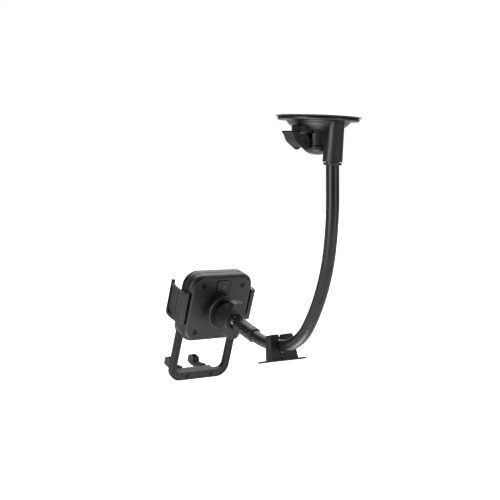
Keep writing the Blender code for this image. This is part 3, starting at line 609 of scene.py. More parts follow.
def neck_socket():
    """Socket that narrows upwards into the bowl."""
    middle_x = (SOCKET_X + SOCKET_TOP_X) / 2
    middle_r = (SOCKET_R + SOCKET_TOP_R) / 2
    return loft([
        socket_section(SOCKET_X, SOCKET_R, SOCKET_BOTTOM),
        socket_section(middle_x, middle_r, (SOCKET_BOTTOM + SOCKET_TOP) / 2),
        socket_section(SOCKET_TOP_X, SOCKET_TOP_R, SOCKET_TOP),
    ])


def housing_outside():
    """Profile of the rim, bowl and barrel."""
    rim = [(POLE_R, RIM_TOP), (FLANGE_R - 0.4, RIM_TOP), (FLANGE_R, RIM_TOP - 0.4),
           (FLANGE_R, FLANGE_BOTTOM + 0.5), (FLANGE_R - 0.5, FLANGE_BOTTOM)]
    barrel = [(BARREL_R, -13.4), (BARREL_R, BARREL_BOTTOM + 0.3),
              (BARREL_R - 0.3, BARREL_BOTTOM), (POLE_R, BARREL_BOTTOM)]
    return rim + smooth_line(BOWL, 6) + barrel


def housing_inside():
    """Profile of the room for the plunger and the disc's boss."""
    wall = [(r - BOWL_WALL, z + 0.5 * BOWL_WALL) for r, z in smooth_line(BOWL[1:4], 5)]
    low = BARREL_BOTTOM - 1.0
    barrel = [(POLE_R, low), (BARREL_BORE, low), (BARREL_BORE, -10.6)]
    return barrel + wall[::-1] + [(26.2, -1.9), (27.7, -0.9), (POLE_R, -0.9)]


def rim_groove():
    """Shallow groove under the flange, near its edge."""
    near, far = FLANGE_R - 2.9, FLANGE_R - 2.3
    low, high = FLANGE_BOTTOM - 0.6, FLANGE_BOTTOM + 0.35
    return turned([(near, low), (near, high), (far, high), (far, low)])


def cup_housing():
    """Rim, bowl, barrel, neck socket, the web between them and the pad that the cam presses."""
    web = [(15.0, WEB_BOTTOM), (15.0, -9.0), (9.1, -9.0), (9.1, BARREL_BOTTOM + 0.5),
           (CAP_R + 0.5, BARREL_BOTTOM + 0.5), (CAP_R + 0.5, WEB_BOTTOM)]
    pad = box((-LEVER_HALF, -20.5, CAM_PAD_Z), (LEVER_HALF, -9.0, -8.0))
    bore = loft([neck_ring(s, NECK_R + GAP, 48) for s in (-13.5, 4.0)])
    window = [(-SLOT_HALF, -24.0), (-SLOT_HALF, SLOT_TOP), (SLOT_HALF, SLOT_TOP), (SLOT_HALF, -24.0)]
    slot = prism(round_outline(window, [0, 1.0, 1.0, 0]), -14.0, -4.0, "XZ")
    joins = [neck_socket(), prism(web, -WEB_HALF, WEB_HALF, "XZ"), pad]
    cuts = [turned(housing_inside(), closed=False), bore, slot, rim_groove()]
    housing = shaped("cup_housing", turned(housing_outside(), closed=False), joins, cuts, 0.3, 3)
    dress(housing, PLASTIC, "suction_base", ["base_housing"])


def cup_cap():
    """Domed cup under the barrel, slotted for the plunger's arm."""
    top = BARREL_BOTTOM - GAP
    depth = CAP_BOTTOM - top + 1.2
    dome = [(CAP_R * cos(radians(a)), top - 1.2 + depth * sin(radians(a))) for a in range(0, 88, 6)]
    profile = [(BARREL_BORE, top), (CAP_R - 0.4, top), (CAP_R, top - 0.4)] + dome
    profile += [(dome[-1][0], CAP_FLOOR), (BARREL_BORE - 1.0, CAP_FLOOR), (BARREL_BORE, CAP_FLOOR + 1.0)]
    slot = box((-SLOT_HALF, -14.0, PIN_Z - ARM_END_R - 0.5), (SLOT_HALF, -4.0, -20.0))
    plug = rod(1.6, CAP_BOTTOM + 0.4, CAP_FLOOR, sides=24)
    cap = shaped("cup_cap", turned(profile), [plug], [slot], edge=0.2)
    dress(cap, PLASTIC, "suction_base", ["barrel_cap"])


def pin_hole():
    """Hole for the lever's pin."""
    return rod(PIN_HOLE_R, -8.0, 8.0, "X", (0.0, PIN_Y, PIN_Z))


def plunger_arm():
    """Post in the barrel, with the arm that carries the lever's pin."""
    hub_r = BARREL_BORE - GAP
    top, bottom = PIN_Z + ARM_END_R, PIN_Z - ARM_END_R
    profile = [(3.9, -7.5), (3.9, top), (hub_r, top - 0.2), (hub_r, bottom)]
    arm = [(-4.0, bottom), (-4.0, top)] + arc((PIN_Y, PIN_Z), ARM_END_R, 90, 270, 16)
    post = turned(profile, sides=64, closed=False)
    piece = shaped("plunger_post", post, [prism(arm, -ARM_HALF, ARM_HALF)], [pin_hole()], edge=0.3)
    dress(piece, SATIN, "plunger", ["plunger"])


def cup_spring():
    """Spring between the cap's floor and the plunger."""
    low = CAP_FLOOR + 0.7
    high = PIN_Z - ARM_END_R - 0.7
    spring = shaped("cup_spring", coil(5.2, 0.4, 2.5, low, high), edge=0)
    dress(spring, SPRING, None, ["plunger_spring"])
    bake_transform(spring)


def cam_edge(angle):
    """Point of the lever's cam, whose height falls evenly as the lever turns."""
    height = CAM_HEIGHT - CAM_FALL * angle
    y = height * sin(angle) - CAM_FALL * cos(angle)
    z = height * cos(angle) + CAM_FALL * sin(angle)
    return PIN_Y + y, PIN_Z + z


def lever_outline():
    """Side of the lever: its tab, the cam round the pin, and the tail below."""
    outline = [(-29.6, -12.0), (-22.0, -13.4)]
    outline += [cam_edge(radians(a)) for a in range(0, 91, 6)]
    tail = [(-12.6, -23.4), (-13.6, -24.8), (-16.4, -25.5), (-25.4, -19.6), (-28.0, -14.6), (-29.8, -13.0)]
    return outline + round_outline(tail, [0.0, 0.5, 1.0, 1.6, 1.2, 0.3])


def lever():
    """Lever with two cheeks that hold the pin, and grip lines on its tab."""
    pocket = [(-23.6, -11.0), (-23.6, -14.3), (-26.6, -15.1), (-24.2, -19.0),
              (-19.0, -22.5), (-19.0, -28.0), (-9.0, -28.0), (-9.0, -11.0)]
    pocket = round_outline(pocket, [0, 0.5, 0.5, 1.0, 0, 0, 0, 0])
    inner = ARM_HALF + 0.4
    cuts = [prism(pocket, -inner, inner), pin_hole()]
    for i in range(4):
        y = -28.9 + i * 1.5
        cuts.append(box((-4.6, y - 0.28, -11.4), (4.6, y + 0.28, -12.35 - i * 0.28)))
    piece = shaped("cam_lever_grip", prism(lever_outline(), -LEVER_HALF, LEVER_HALF), cuts=cuts, edge=0.3)
    dress(piece, DULL, "lever", ["cam_lever"])


def lever_axle():
    half = 5.8
    profile = [(POLE_R, -half), (PIN_R - 0.25, -half), (PIN_R, 0.25 - half),
               (PIN_R, half - 0.25), (PIN_R - 0.25, half), (POLE_R, half)]
    pin = turned(profile, "X", (0.0, PIN_Y, PIN_Z), 32, closed=False)
    dress(shaped("lever_axle", pin, edge=0), SCREW, "lever", ["lever_pin"])


def collar():
    top = SOCKET_BOTTOM - GAP
    centre = neck_frame(0.0)[0]
    bore = NECK_R + 0.25
    profile = [(bore, top), (COLLAR_R - 0.25, top), (COLLAR_R, top - 0.25), (COLLAR_R, COLLAR_BOTTOM + 0.6),
               (COLLAR_R - 0.2, COLLAR_BOTTOM + 0.2), (COLLAR_R - 0.6, COLLAR_BOTTOM), (bore, COLLAR_BOTTOM)]
    ring = shaped("neck_ring_collar", turned(profile, centre=(centre.x, 0.0, 0.0), sides=64), edge=0)
    dress(ring, SATIN, "suction_base", ["neck_collar"])


# ---- neck
def neck_frame(distance):
    """Place and direction of the neck's middle line, a distance along it from the socket."""
    x, z = NECK_START
    heading = radians(NECK_HEADING)
    left = distance
    if distance < 0.0:
        x += distance * cos(heading)
        z += distance * sin(heading)
        left = 0.0
    for length, turn in NECK_RUNS:
        part = min(left, length)
        bend = radians(turn) * part / length
        if turn:
            radius = length / radians(turn)
            x += radius * (sin(heading + bend) - sin(heading))
            z -= radius * (cos(heading + bend) - cos(heading))
        else:
            x += part * cos(heading)
            z += part * sin(heading)
        heading += bend
        left -= part
        if left <= 0.0:
            break
    return Vector((x, 0.0, z)), Vector((cos(heading), 0.0, sin(heading)))


def neck_ring(distance, radius, sides):
    point, along = neck_frame(distance)
    up = along.cross(SIDE)
    turns = [2 * pi * i / sides for i in range(sides)]
    return [point + (SIDE * cos(a) + up * sin(a)) * radius for a in turns]


def sleeve(name, start, end, bend, nodes):
    """Stretch of the neck's sleeve, one fixed piece drawn along the neck's path round a hinge between two
    bodies.
    """
    steps = max(4, round((end - start) / 1.6))
    rings = [neck_ring(start + (end - start) * i / steps, NECK_R, 48) for i in range(steps + 1)]
    tube = temp_object(name, loft(rings, caps=False))
    tube.data.transform(WORLD)
    tube.data.shade_smooth()
    dress(tube, SLEEVE, None, nodes)
    low = neck_frame(bend - BEND_SPREAD)[0] * MM
    high = neck_frame(bend + BEND_SPREAD)[0] * MM
    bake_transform(tube)


def neck():
    """The sleeve in three stretches, one for each hinge, which meet midway between hinges."""
    middles = [(BENDS[0] + BENDS[1]) / 2, (BENDS[1] + BENDS[2]) / 2 - 6.0]
    stretches = [
        (-12.0, middles[0], "suction_base", "neck_upper", ("root", "upper")),
        (middles[0], middles[1], "neck_upper", "neck_lower", ("lower",)),
        (middles[1], NECK_LENGTH - 21.0, "neck_lower", "neck_tip", ("tip",)),
    ]
    for i, (start, end, above, below, parts) in enumerate(stretches):
        nodes = ["neck_%s_%s" % (kind, part) for part in parts for kind in ("sheath", "core")]
        sleeve("neck_sleeve_%d" % (i + 1), start, end, BENDS[i], nodes)


def clip():
    """Fork that rides on the neck, with a thin sole plate; drawn looking along the neck."""
    point, along = neck_frame(CLIP_AT)
    turn = atan2(along.z, -along.x) + CLIP_LEAN
    place = WORLD @ Matrix.Translation(point) @ Matrix.Rotation(turn, 4, "Y")
    plate = CLIP_FOOT + 1.4
    half_mouth = sqrt(CLIP_BORE ** 2 - CLIP_THROAT ** 2)
    start = 90.0 - degrees(atan2(CLIP_THROAT, half_mouth))
    seat = arc((0.0, 0.0), CLIP_BORE, 180.0 - start, 360.0 + start, 40)
    shell = [(CLIP_MOUTH, CLIP_EAR), (CLIP_TOP_HALF, CLIP_EAR), (CLIP_BASE_HALF, plate),
             (-CLIP_BASE_HALF, plate), (-CLIP_TOP_HALF, CLIP_EAR), (-CLIP_MOUTH, CLIP_EAR)]
    outline = seat + round_outline(shell, [0.6, 1.4, 0.01, 0.01, 1.4, 0.6])
    sole = prism(rounded(4.8, 21.2, 1.5, 6), CLIP_FOOT, plate + 0.05, "XY")
    notch = box((-4.0, -0.9, -CLIP_BORE - 1.6), (4.0, 0.9, -CLIP_BORE + 0.6))
    slot = box((2.4, -12.0, plate + 0.3), (4.0, -2.0, plate + 1.3))
    piece = shaped("dashboard_clip", prism(outline, -3.6, 3.6), [sole], [notch, slot], 0.35, 3, place=place)
    dress(piece, PLASTIC, "clip", ["dash_clip"])


# ---- ball joint
def turned_liner(name, first, last, steps, closed):
    """Thin shell round the ball between two angles from the stud."""
    inside = sphere_profile(LINER_R, first, last, steps)
    outside = sphere_profile(LINER_OUT_R, last, first, steps)
    profile = inside + outside if closed else outside + inside
    return shaped(name, turned(profile, "X", sides=64, closed=closed), edge=0, place=CRADLE)


def ball_joint():
    """Ball with its stem, and the two liners that grip it."""
    neck_angle = degrees(asin(STEM_R / BALL_R))
    profile = sphere_profile(BALL_R, 178.5, neck_angle + 4.0, 40)
    profile += smooth_line([(2.95, 5.45), (2.75, 6.1), (STEM_R, 7.0)], 3) + [(STEM_R, 20.0)]
    stud = shaped("ball_and_stem", turned(profile, "X", sides=64, closed=False), edge=0, place=CRADLE)
    dress(stud, GLOSS, "neck_tip", ["ball_stud"])
    ring = turned_liner("ball_pressure_ring", 50.0, 70.0, 8, True)
    dress(ring, RUBBER, "pressure_ring", ["pressure_ring"])
    seat = turned_liner("ball_cup_liner", 98.0, 178.0, 16, False)
    dress(seat, RUBBER, "ball_seat", ["ball_seat"])


def ferrule():
    """Sleeve at the neck's end, with a groove near the neck."""
    r, start, end = FERRULE_R, FERRULE_START, FERRULE_END
    nose = [(STEM_R + GAP, start), (r - 0.9, start), (r - 0.25, start + 0.25), (r, start + 0.9)]
    groove = [(r, end - 2.6), (r - 0.3, end - 2.4), (r - 0.3, end - 2.0), (r, end - 1.8)]
    tail = [(r, end - 0.6), (r - 0.2, end - 0.2), (r - 0.6, end)]
    bore = [(NECK_R + 0.25, end), (NECK_R + 0.25, 20.0), (STEM_R + GAP, 19.2)]
    profile = nose + groove + tail + bore
    piece = shaped("neck_end_ferrule", turned(profile, "X", sides=72), edge=0, place=CRADLE)
    dress(piece, SATIN, "neck_tip", ["neck_ferrule"])


def nut():
    """Ring nut with a flat oval paddle at its front."""
    lip = sphere_profile(SEAT_R, 56.0, 68.0, 6)
    lip_r = lip[0][0]
    profile = [(NUT_BORE, NUT_BACK), (NUT_R - 0.5, NUT_BACK), (NUT_R, NUT_BACK + 0.5),
               (NUT_R, NUT_FRONT - 0.5), (NUT_R - 0.5, NUT_FRONT),
               (lip_r + 1.3, NUT_FRONT), (lip_r + 0.4, NUT_FRONT - 0.5)]
    profile += lip + [(NUT_BORE, lip[-1][1])]
    half = [(8.6, 6.6), (7.0, 10.2), (6.1, 13.2), (5.0, 15.4), (2.6, WING_R - 0.1), (0.0, WING_R)]
    lobe = smooth_line(half + [(-y, z) for y, z in half[-2::-1]], 4)
    wings = []
    for side in (1, -1):
        wings.append(prism([(side * y, side * z) for y, z in lobe], WING_BACK, NUT_FRONT - 0.05))
    piece = shaped("wing_nut_body", turned(profile, "X", sides=FINE), wings, (), 0.55, 4, place=CRADLE)
    dress(piece, PLASTIC, "wing_nut", ["wing_nut"])


# ---- cradle
def shell_rings(profile):
    """Rings of the shell from (x, half width, half height, corner radius) rows."""
    rings = []
    for x, half_y, half_z, radius in profile:
        rings.append([(x, y, z) for y, z in rounded(half_y, half_z, radius, 12)])
    return rings


def screw_places():
    return [(sy * 20.0, sz * 21.0) for sy in (1, -1) for sz in (1, -1)]


def button_outline(room, corner):
    """Outline of the button, grown by some room all round."""
    middle = (BUTTON_TOP + BUTTON_BOTTOM) / 2
    half = (BUTTON_TOP - BUTTON_BOTTOM) / 2
    return [(y, z + middle) for y, z in rounded(BUTTON_Y + room[0], half + room[1], corner, 8)]


def boss_profile():
    """Round boss that flares to a lip, with the ball's seat sunk in it."""
    front = BOSS_FRONT
    flare = [(BOSS_BASE_R, BACK_X - 0.8), (BOSS_BASE_R + 0.3, BACK_X + 1.2), (BOSS_R - 0.4, front - 2.0)]
    lip = [(BOSS_R + 0.2, front - 1.4), (BOSS_R + 0.3, front - 0.6), (BOSS_R, front - 0.1),
           (BOSS_R - 0.5, front), (BOSS_R - 1.3, front), (BOSS_R - 1.5, front - 0.35)]
    tube = [(TUBE_R, front - 0.35), (TUBE_R, 1.8)]
    return flare + lip + tube + sphere_profile(SEAT_R, 75.0, 178.0, 16)


def cover_cuts():
    """Openings for the arms, the button with its frame line, and the screws."""
    cuts = []
    for side in (1, -1):
        strip = (BACK_X + 2.0, side * ARM_POCKET, ARM_BOTTOM - GAP)
        cuts.append(box(strip, (PART_X - 1.0, side * 40.0, ARM_TOP + GAP)))
        rack = (RACK_BACK + GAP, side * 28.0, GEAR_Z - 8.5)
        cuts.append(box(rack, (PART_X - 1.0, side * 36.0, GEAR_Z + 8.5)))
    cuts.append(prism(button_outline((GAP, GAP), 2.3), BACK_X - 4.0, BACK_X + 2.0))
    cuts.append(prism(button_outline((1.5, 1.3), 3.2), BACK_X - 0.45, BACK_X + 2.0))
    for y, z in screw_places():
        cuts.append(rod(SCREW_HOLE_R, BACK_X - 3.0, BACK_X - 0.5, "X", (0.0, y, z), 24))
        cuts.append(rod(2.35, BACK_X - 0.8, BACK_X + 1.0, "X", (0.0, y, z), 40))
    return cuts


def cover_back():
    """Rear half of the shell, from its flat back over the slanted shoulder to the parting line."""
    rings = shell_rings([
        (BACK_X, 28.2, 27.6, 10.3),
        (BACK_X - 0.1, 28.9, 28.2, 10.8),
        (BACK_X - 0.5, 29.7, 28.7, 11.2),
        (SHOULDER_X + 1.6, 30.9, 29.6, 11.9),
        (SHOULDER_X + 0.7, 31.9, 30.15, 12.3),
        (SHOULDER_X - 0.1, SHELL_Y, 30.3, CORNER_R),
        (PART_X + 0.25, SHELL_Y, SHELL_Z, CORNER_R),
        (PART_X, SHELL_Y - 0.15, SHELL_Z - 0.15, CORNER_R - 0.15),
        (PART_X, SHELL_Y - WALL, SHELL_Z - WALL, CORNER_R - WALL),
        (BACK_X - 1.9, 29.8 - WALL, 28.6 - WALL, 9.5),
    ])
    boss = turned(boss_profile(), "X", sides=FINE, closed=False)
    piece = shaped("shell_back", loft(rings), [boss], cover_cuts(), edge=0.16, place=CRADLE)
    dress(piece, PLASTIC, "cradle", ["rear_cover"])


def cover_front():
    """Front half of the shell, with the gear's axle, four screw posts and slots for the support's legs."""
    back = PART_X - GAP
    rings = shell_rings([
        (FRONT_X, 30.9, 29.0, 11.6),
        (FRONT_X + 0.2, 31.6, 29.7, 12.0),
        (FRONT_X + 0.7, 32.1, 30.2, CORNER_R),
        (back - 0.25, SHELL_Y, SHELL_Z, CORNER_R),
        (back, SHELL_Y - 0.15, SHELL_Z - 0.15, CORNER_R - 0.15),
        (back, SHELL_Y - WALL, SHELL_Z - WALL, CORNER_R - WALL),
        (FRONT_X + 1.5, SHELL_Y - WALL, SHELL_Z - WALL, CORNER_R - WALL),
    ])
    joins = [rod(1.8, FRONT_X + 1.0, RACK_BACK, "X", (0.0, 0.0, GEAR_Z), 32)]
    cuts = []
    for y, z in screw_places():
        joins.append(rod(2.2, FRONT_X + 1.0, BACK_X - 2.4, "X", (0.0, y, z), 24))
        cuts.append(rod(SCREW_HOLE_R, BACK_X - 7.2, BACK_X - 1.0, "X", (0.0, y, z), 20))
    for side in (1, -1):
        outer = (FRONT_X + 1.5, side * (LEG_OUT + GAP), -40.0)
        cuts.append(box(outer, (PART_X + 1.0, side * (LEG_OUT - LEG_WIDE - GAP), -20.0)))
    piece = shaped("shell_front", loft(rings), joins, cuts, edge=0.15, place=CRADLE)
    dress(piece, PLASTIC, "cradle", ["front_cover"])


def pad_front():
    """Rubber pad with level grip ribs."""
    back = FRONT_X - GAP
    face = back - 0.75
    body = prism(rounded(25.0, 22.0, 6.0, 8), face, back)
    ribs = []
    for i in range(8):
        z = -17.5 + i * 5.0
        ribs.append(box((back - 1.2, -22.0, z - 0.9), (face + 0.2, 22.0, z + 0.9)))
    piece = shaped("phone_rest_pad", body, ribs, edge=0.22, place=CRADLE)
    dress(piece, RUBBER, "cradle", ["front_pad"])


def screw(name, node_name, body, centre, seat, head, length, radius):
    """Cross-headed screw whose head rises from its seat and whose shank runs forwards."""
    x, y, z = centre
    top = seat + head
    profile = [(POLE_R, top), (radius - 0.35, top), (radius, top - 0.3), (radius, seat),
               (0.9, seat), (0.9, seat - length), (POLE_R, seat - length)]
    floor = top - 0.55
    long, thin = radius * 0.62, 0.22
    slots = []
    for half_y, half_z in ((thin, long), (long, thin)):
        slots.append(box((floor, y - half_y, z - half_z), (seat + 2.0, y + half_y, z + half_z)))
    turned_screw = turned(profile, "X", (x, y, z), 32, closed=False)
    piece = shaped(name, turned_screw, cuts=slots, edge=0, place=CRADLE)
    dress(piece, SCREW, body, [node_name])


def screws():
    """Four screws in the shell and two in the support's bar."""
    for i, (y, z) in enumerate(screw_places()):
        number = "screw_%d" % (i + 1)
        screw("shell_" + number, "cover_" + number, "cradle", (0.0, y, z), BACK_X - 0.5, 0.3, 6.0, 2.0)
    middle = (BAR_TOP + BAR_BOTTOM) / 2
    for name, side in (("left", -1), ("right", 1)):
        centre = (0.0, side * FOOT_Y, middle)
        screw(name + "_bar_screw", name + "_foot_screw", "support", centre, LEG_BACK - 1.3, 0.9, 7.5, 1.6)


# ---- arms
def rack_teeth(low, high, pitch_z, direction):
    """Points of the rack's teeth that fall well inside the bar, 20 degree flanks."""
    pitch = pi * MODULE
    half = pitch / 4 - 0.175
    slope = tan(radians(20.0))
    root, tip = -1.15 * MODULE, 0.8 * MODULE
    points = []
    for i in range(-8, 9):
        for side, lift in ((-1, root), (-1, tip), (1, tip), (1, root)):
            points.append((i * pitch + side * (half - lift * slope), pitch_z + direction * lift))
    return [(y, z) for y, z in points if low + 2.5 < y < high - 2.5]


def rack_bar(side):
    """Toothed bar that runs from the arm past the gear."""
    up = -side
    pitch_z = GEAR_Z + up * GEAR_PITCH_R
    low, high = sorted((side * (ARM_IN + 1.0), -side * 14.0))
    root_z = pitch_z + up * 0.92
    far = GEAR_Z + up * (GEAR_PITCH_R + 3.4)
    teeth = rack_teeth(low, high, pitch_z, -up)
    outline = [(low, far), (low, root_z)] + teeth + [(high, root_z), (high, far)]
    return prism(outline, RACK_FRONT, RACK_BACK - 0.2)


def arm_strip(side, heights):
    """Arm seen from above: the strip at the shell's side, and the wing that curls round the phone's edge."""
    strip = [(STRIP_BACK, ARM_IN), (STRIP_BACK - 0.4, ARM_OUT - 1.2),
             (STRIP_BACK - 0.75, ARM_OUT - 0.35), (STRIP_BACK - 1.8, ARM_OUT)]
    outer = smooth_line([(-34.0, ARM_OUT + 0.2), (-38.0, ARM_OUT + 0.8), (-41.0, ARM_OUT + 1.6),
                         (-42.8, ARM_OUT + 1.6), (ARM_TIP_X, ARM_OUT + 0.9)], 4)
    inner = smooth_line([(ARM_TIP_X, ARM_OUT - 0.6), (-43.4, ARM_OUT - 1.7), (-42.2, ARM_OUT - 2.0),
                         (-40.4, ARM_OUT - 0.6), (-37.0, ARM_OUT - 1.6), (-34.0, ARM_OUT - 2.2)], 4)
    root = [(RACK_FRONT - 0.6, ARM_OUT - 2.2), (RACK_FRONT - 0.6, ARM_IN)]
    outline = strip + outer + inner + root
    return loft([[(x, side * y, h) for x, y in outline] for h in heights])


def wing_panel(side):
    """Recess in the wing's outer face, leaning out as the wing does."""
    corners = [(-42.2, -5.4), (-42.5, WING_TOP - 4.6), (-35.6, ARM_TOP - 2.0), (-35.0, -10.6), (-39.6, -9.4)]
    panel = round_outline(corners, 1.0, 4)
    recess = prism(panel, side * (ARM_OUT - 1.1), side * (ARM_OUT + 3.0), "XZ")
    for vert in recess.verts:
        vert.co.y += side * 0.17 * max(0.0, -vert.co.x - 34.0)
    return recess


def wing_trims(side):
    """Cuts that round the wing's lower corner and let its top rise outwards."""
    corner = [(-36.0, ARM_BOTTOM - 0.1), (-39.6, -12.0), (-42.4, -10.0), (-44.0, -7.4), (-44.5, -3.0)]
    below = smooth_line(corner, 4)
    below += [(-50.0, -3.0), (-50.0, ARM_BOTTOM - 1.0), (-36.0, ARM_BOTTOM - 1.0)]
    rise = smooth_line([(-34.0, ARM_TOP), (-37.4, ARM_TOP + 0.6), (-40.4, ARM_TOP + 1.9),
                        (-42.6, ARM_TOP + 3.4), (-43.4, WING_TOP - 0.35), (-44.2, WING_TOP - 0.3)], 4)
    high = WING_TOP + 2.0
    above = [(-20.0, high), (-20.0, ARM_TOP)] + rise + [(-50.0, WING_TOP - 0.3), (-50.0, high)]
    return [prism(outline, side * 30.0, side * 42.0, "XZ") for outline in (below, above)]


def arm(name, side):
    """Strip at the shell's side and a wing that rises outwards, with a recessed panel."""
    body = arm_strip(side, (ARM_BOTTOM, WING_TOP))
    near = (-31.9, side * (ARM_OUT - 0.45), ARM_BOTTOM - 1.0)
    groove = box(near, (-31.3, side * (ARM_OUT + 1.0), WING_TOP + 1.0))
    cuts = wing_trims(side) + [groove, wing_panel(side)]
    piece = shaped(name + "_clamp", body, [rack_bar(side)], cuts, edge=0.28, segments=3, place=CRADLE)
    dress(piece, PLASTIC, name, [name])


def arm_grip(name, side):
    """Ribbed rubber grip inside the arm."""
    wall = ARM_OUT - 2.5
    low, high = -5.0, ARM_TOP - 1.5
    back = [(-36.9, wall + 0.7), (-40.2, wall + 1.5), (-40.2, wall + 0.35), (-36.9, wall - 0.55)]
    rib = [(-37.0, wall + 0.3), (-40.1, wall + 1.1), (-40.1, wall + 0.1), (-37.0, wall - 0.8)]
    body = prism([(x, side * y) for x, y in back], low, high, "XY")
    count = 8
    ribs = []
    for i in range(count):
        z = low + (i + 0.5) * (high - low) / count
        ribs.append(prism([(x, side * y) for x, y in rib], z - 0.55, z + 0.55, "XY"))
    piece = shaped(name + "_grip", body, ribs, edge=0.1, place=CRADLE)
    dress(piece, RUBBER, name, [name + "_pad"])


# ---- button and support
def button():
    """Release button with grip lines across it."""
    middle = (BUTTON_TOP + BUTTON_BOTTOM) / 2
    cuts = []
    for i in range(-2, 3):
        z = middle + i * 1.45
        cuts.append(box((BACK_X + 0.2, -5.0, z - 0.25), (BACK_X + 1.0, 5.0, z + 0.25)))
    body = prism(button_outline((0.0, 0.0), 2.0), BACK_X - BUTTON_DEEP, BACK_X + 0.5)
    piece = shaped("arm_release_button", body, cuts=cuts, edge=0.3, segments=3, place=CRADLE)
    dress(piece, SATIN, "release_button", ["release_button"])


def button_spring():
    """Spring from the front cover's floor to the button."""
    middle = (BUTTON_TOP + BUTTON_BOTTOM) / 2
    low = FRONT_X + 1.5 + 0.6
    high = BACK_X - BUTTON_DEEP - 0.6
    spring = coil(1.7, 0.3, 5.0, 0.0, 1.0)
    for vert in spring.verts:
        rest = vert.co.copy()
        vert.co = Vector((low + (high - low) * rest.z, rest.x, rest.y + middle))
    piece = shaped("button_return_spring", spring, edge=0, place=CRADLE)
    dress(piece, SPRING, None, ["button_spring"])
    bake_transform(piece)


def support_outline():
    """U-shaped frame: two legs and a bar with round corners."""
    inner_y = LEG_OUT - LEG_WIDE
    inner_r = FRAME_R - LEG_WIDE
    right = arc((LEG_OUT - FRAME_R, BAR_BOTTOM + FRAME_R), FRAME_R, 0, -90, 16)
    left = [(-y, z) for y, z in right[::-1]]
    inner_left = arc((-inner_y + inner_r, BAR_TOP + inner_r), inner_r, 270, 180, 12)
    inner_right = [(-y, z) for y, z in inner_left[::-1]]
    outer = [(LEG_OUT, LEG_TOP)] + right + left + [(-LEG_OUT, LEG_TOP)]
    inner = [(-inner_y, LEG_TOP)] + inner_left[::-1] + inner_right[::-1] + [(inner_y, LEG_TOP)]
    return outer + inner


def leg_groove(side):
    """Fine line down the back of a leg and round its corner."""
    centre = (LEG_OUT - FRAME_R, BAR_BOTTOM + FRAME_R)
    outer = [(LEG_OUT - 2.0, LEG_TOP + 1.0)] + arc(centre, FRAME_R - 2.0, 0, -78, 14)
    inner = arc(centre, FRAME_R - 2.45, -78, 0, 14) + [(LEG_OUT - 2.45, LEG_TOP + 1.0)]
    line = [(side * y, z) for y, z in outer + inner]
    return prism(line, LEG_BACK - 0.45, LEG_BACK + 1.0)


def support():
    """Frame with a shelf in front of its bar, bored for the two foot screws."""
    cuts = []
    for side in (1, -1):
        middle = (0.0, side * FOOT_Y, (BAR_TOP + BAR_BOTTOM) / 2)
        cuts.append(rod(1.9, LEG_BACK - 1.6, LEG_BACK + 1.0, "X", middle, 32))
        cuts.append(rod(SCREW_HOLE_R, SHELF_X - 1.0, LEG_BACK + 1.0, "X", middle, 24))
    cuts += [leg_groove(side) for side in (1, -1)]
    low = (SHELF_X, -SHELF_HALF, BAR_BOTTOM + 0.6)
    shelf = box(low, (LEG_BACK - LEG_DEEP + 1.0, SHELF_HALF, BAR_TOP))
    body = prism(support_outline(), LEG_BACK - LEG_DEEP, LEG_BACK)
    piece = shaped("bottom_support", body, [shelf], cuts, edge=0.3, segments=3, place=CRADLE)
    dress(piece, DULL, "support", ["support_frame"])


def foot(name, side):
    """Arm running forwards and down from the bar, with a hollowed block at its tip."""
    back = SHELF_X - GAP
    middle = (BAR_TOP + BAR_BOTTOM) / 2
    (near_x, near_z), (far_x, far_z) = FOOT_TOP
    y = side * FOOT_Y
    low = middle - 3.4
    top = [(back, low), (back, near_z), (near_x, near_z), (far_x, far_z)]
    block = [(far_x - 1.0, FOOT_HOOK_Z - 1.2), (far_x - 2.4, FOOT_HOOK_Z), (FOOT_TIP_X + 1.4, FOOT_HOOK_Z),
             (FOOT_TIP_X, FOOT_HOOK_Z - 1.4), (FOOT_TIP_X, far_z - 1.8), (FOOT_TIP_X + 2.4, far_z - 2.8)]
    under = [(far_x, far_z - 2.8), (near_x - 2.0, low)]
    corners = [0, 0.3, 1.0, 0.9, 0.6, 0.8, 0.8, 0.8, 0.8, 0.8, 1.6, 1.4]
    outline = round_outline(top + block + under, corners, 4)
    near = (far_x - 2.6, y - 2.3, FOOT_HOOK_Z - 3.6)
    cuts = [rod(SCREW_HOLE_R, -43.5, back + 1.0, "X", (0.0, y, middle), 24),
            box(near, (FOOT_TIP_X + 1.3, y + 2.3, FOOT_HOOK_Z + 1.0))]
    piece = shaped(name, prism(outline, y - FOOT_HALF, y + FOOT_HALF, "XZ"), (), cuts, 0.35, 3, place=CRADLE)
    dress(piece, PLASTIC, "support", [name])


def foot_grip(name, side):
    """Ribbed rubber strip on the foot's sloping top."""
    (near_x, near_z), (far_x, far_z) = FOOT_TOP
    y = side * FOOT_Y
    slope = (near_z - far_z) / (near_x - far_x)
    start, end = near_x - 0.7, far_x + 1.0
    line = [(x, near_z + slope * (x - near_x) + 0.4) for x in (start, end)]
    strip = prism(line + [(x, z + 0.65) for x, z in line[::-1]], y - 2.8, y + 2.8, "XZ")
    ribs = []
    for i in range(5):
        x = start - 1.2 - i * 2.1
        z = near_z + slope * (x - near_x) + 0.4
        ribs.append(box((x - 0.45, y - 2.5, z + 0.3), (x + 0.45, y + 2.5, z + 0.9)))
    rest = shaped(name + "_grip", strip, ribs, edge=0.12, place=CRADLE)
    dress(rest, RUBBER, "support", [name + "_pad"])


# ---- scene, metres
ROOM_LIGHT = 0.06
# Bright panels round the object: direction, cosines of their soft edges, strength
PANELS = (
    ((0.112, -0.993, 0.0), 0.98, 0.87, 2.1),
    ((0.954, 0.299, 0.0), 0.985, 0.92, 0.7),
    ((-0.6, 0.55, 0.8), 0.95, 0.6, 1.7),
)
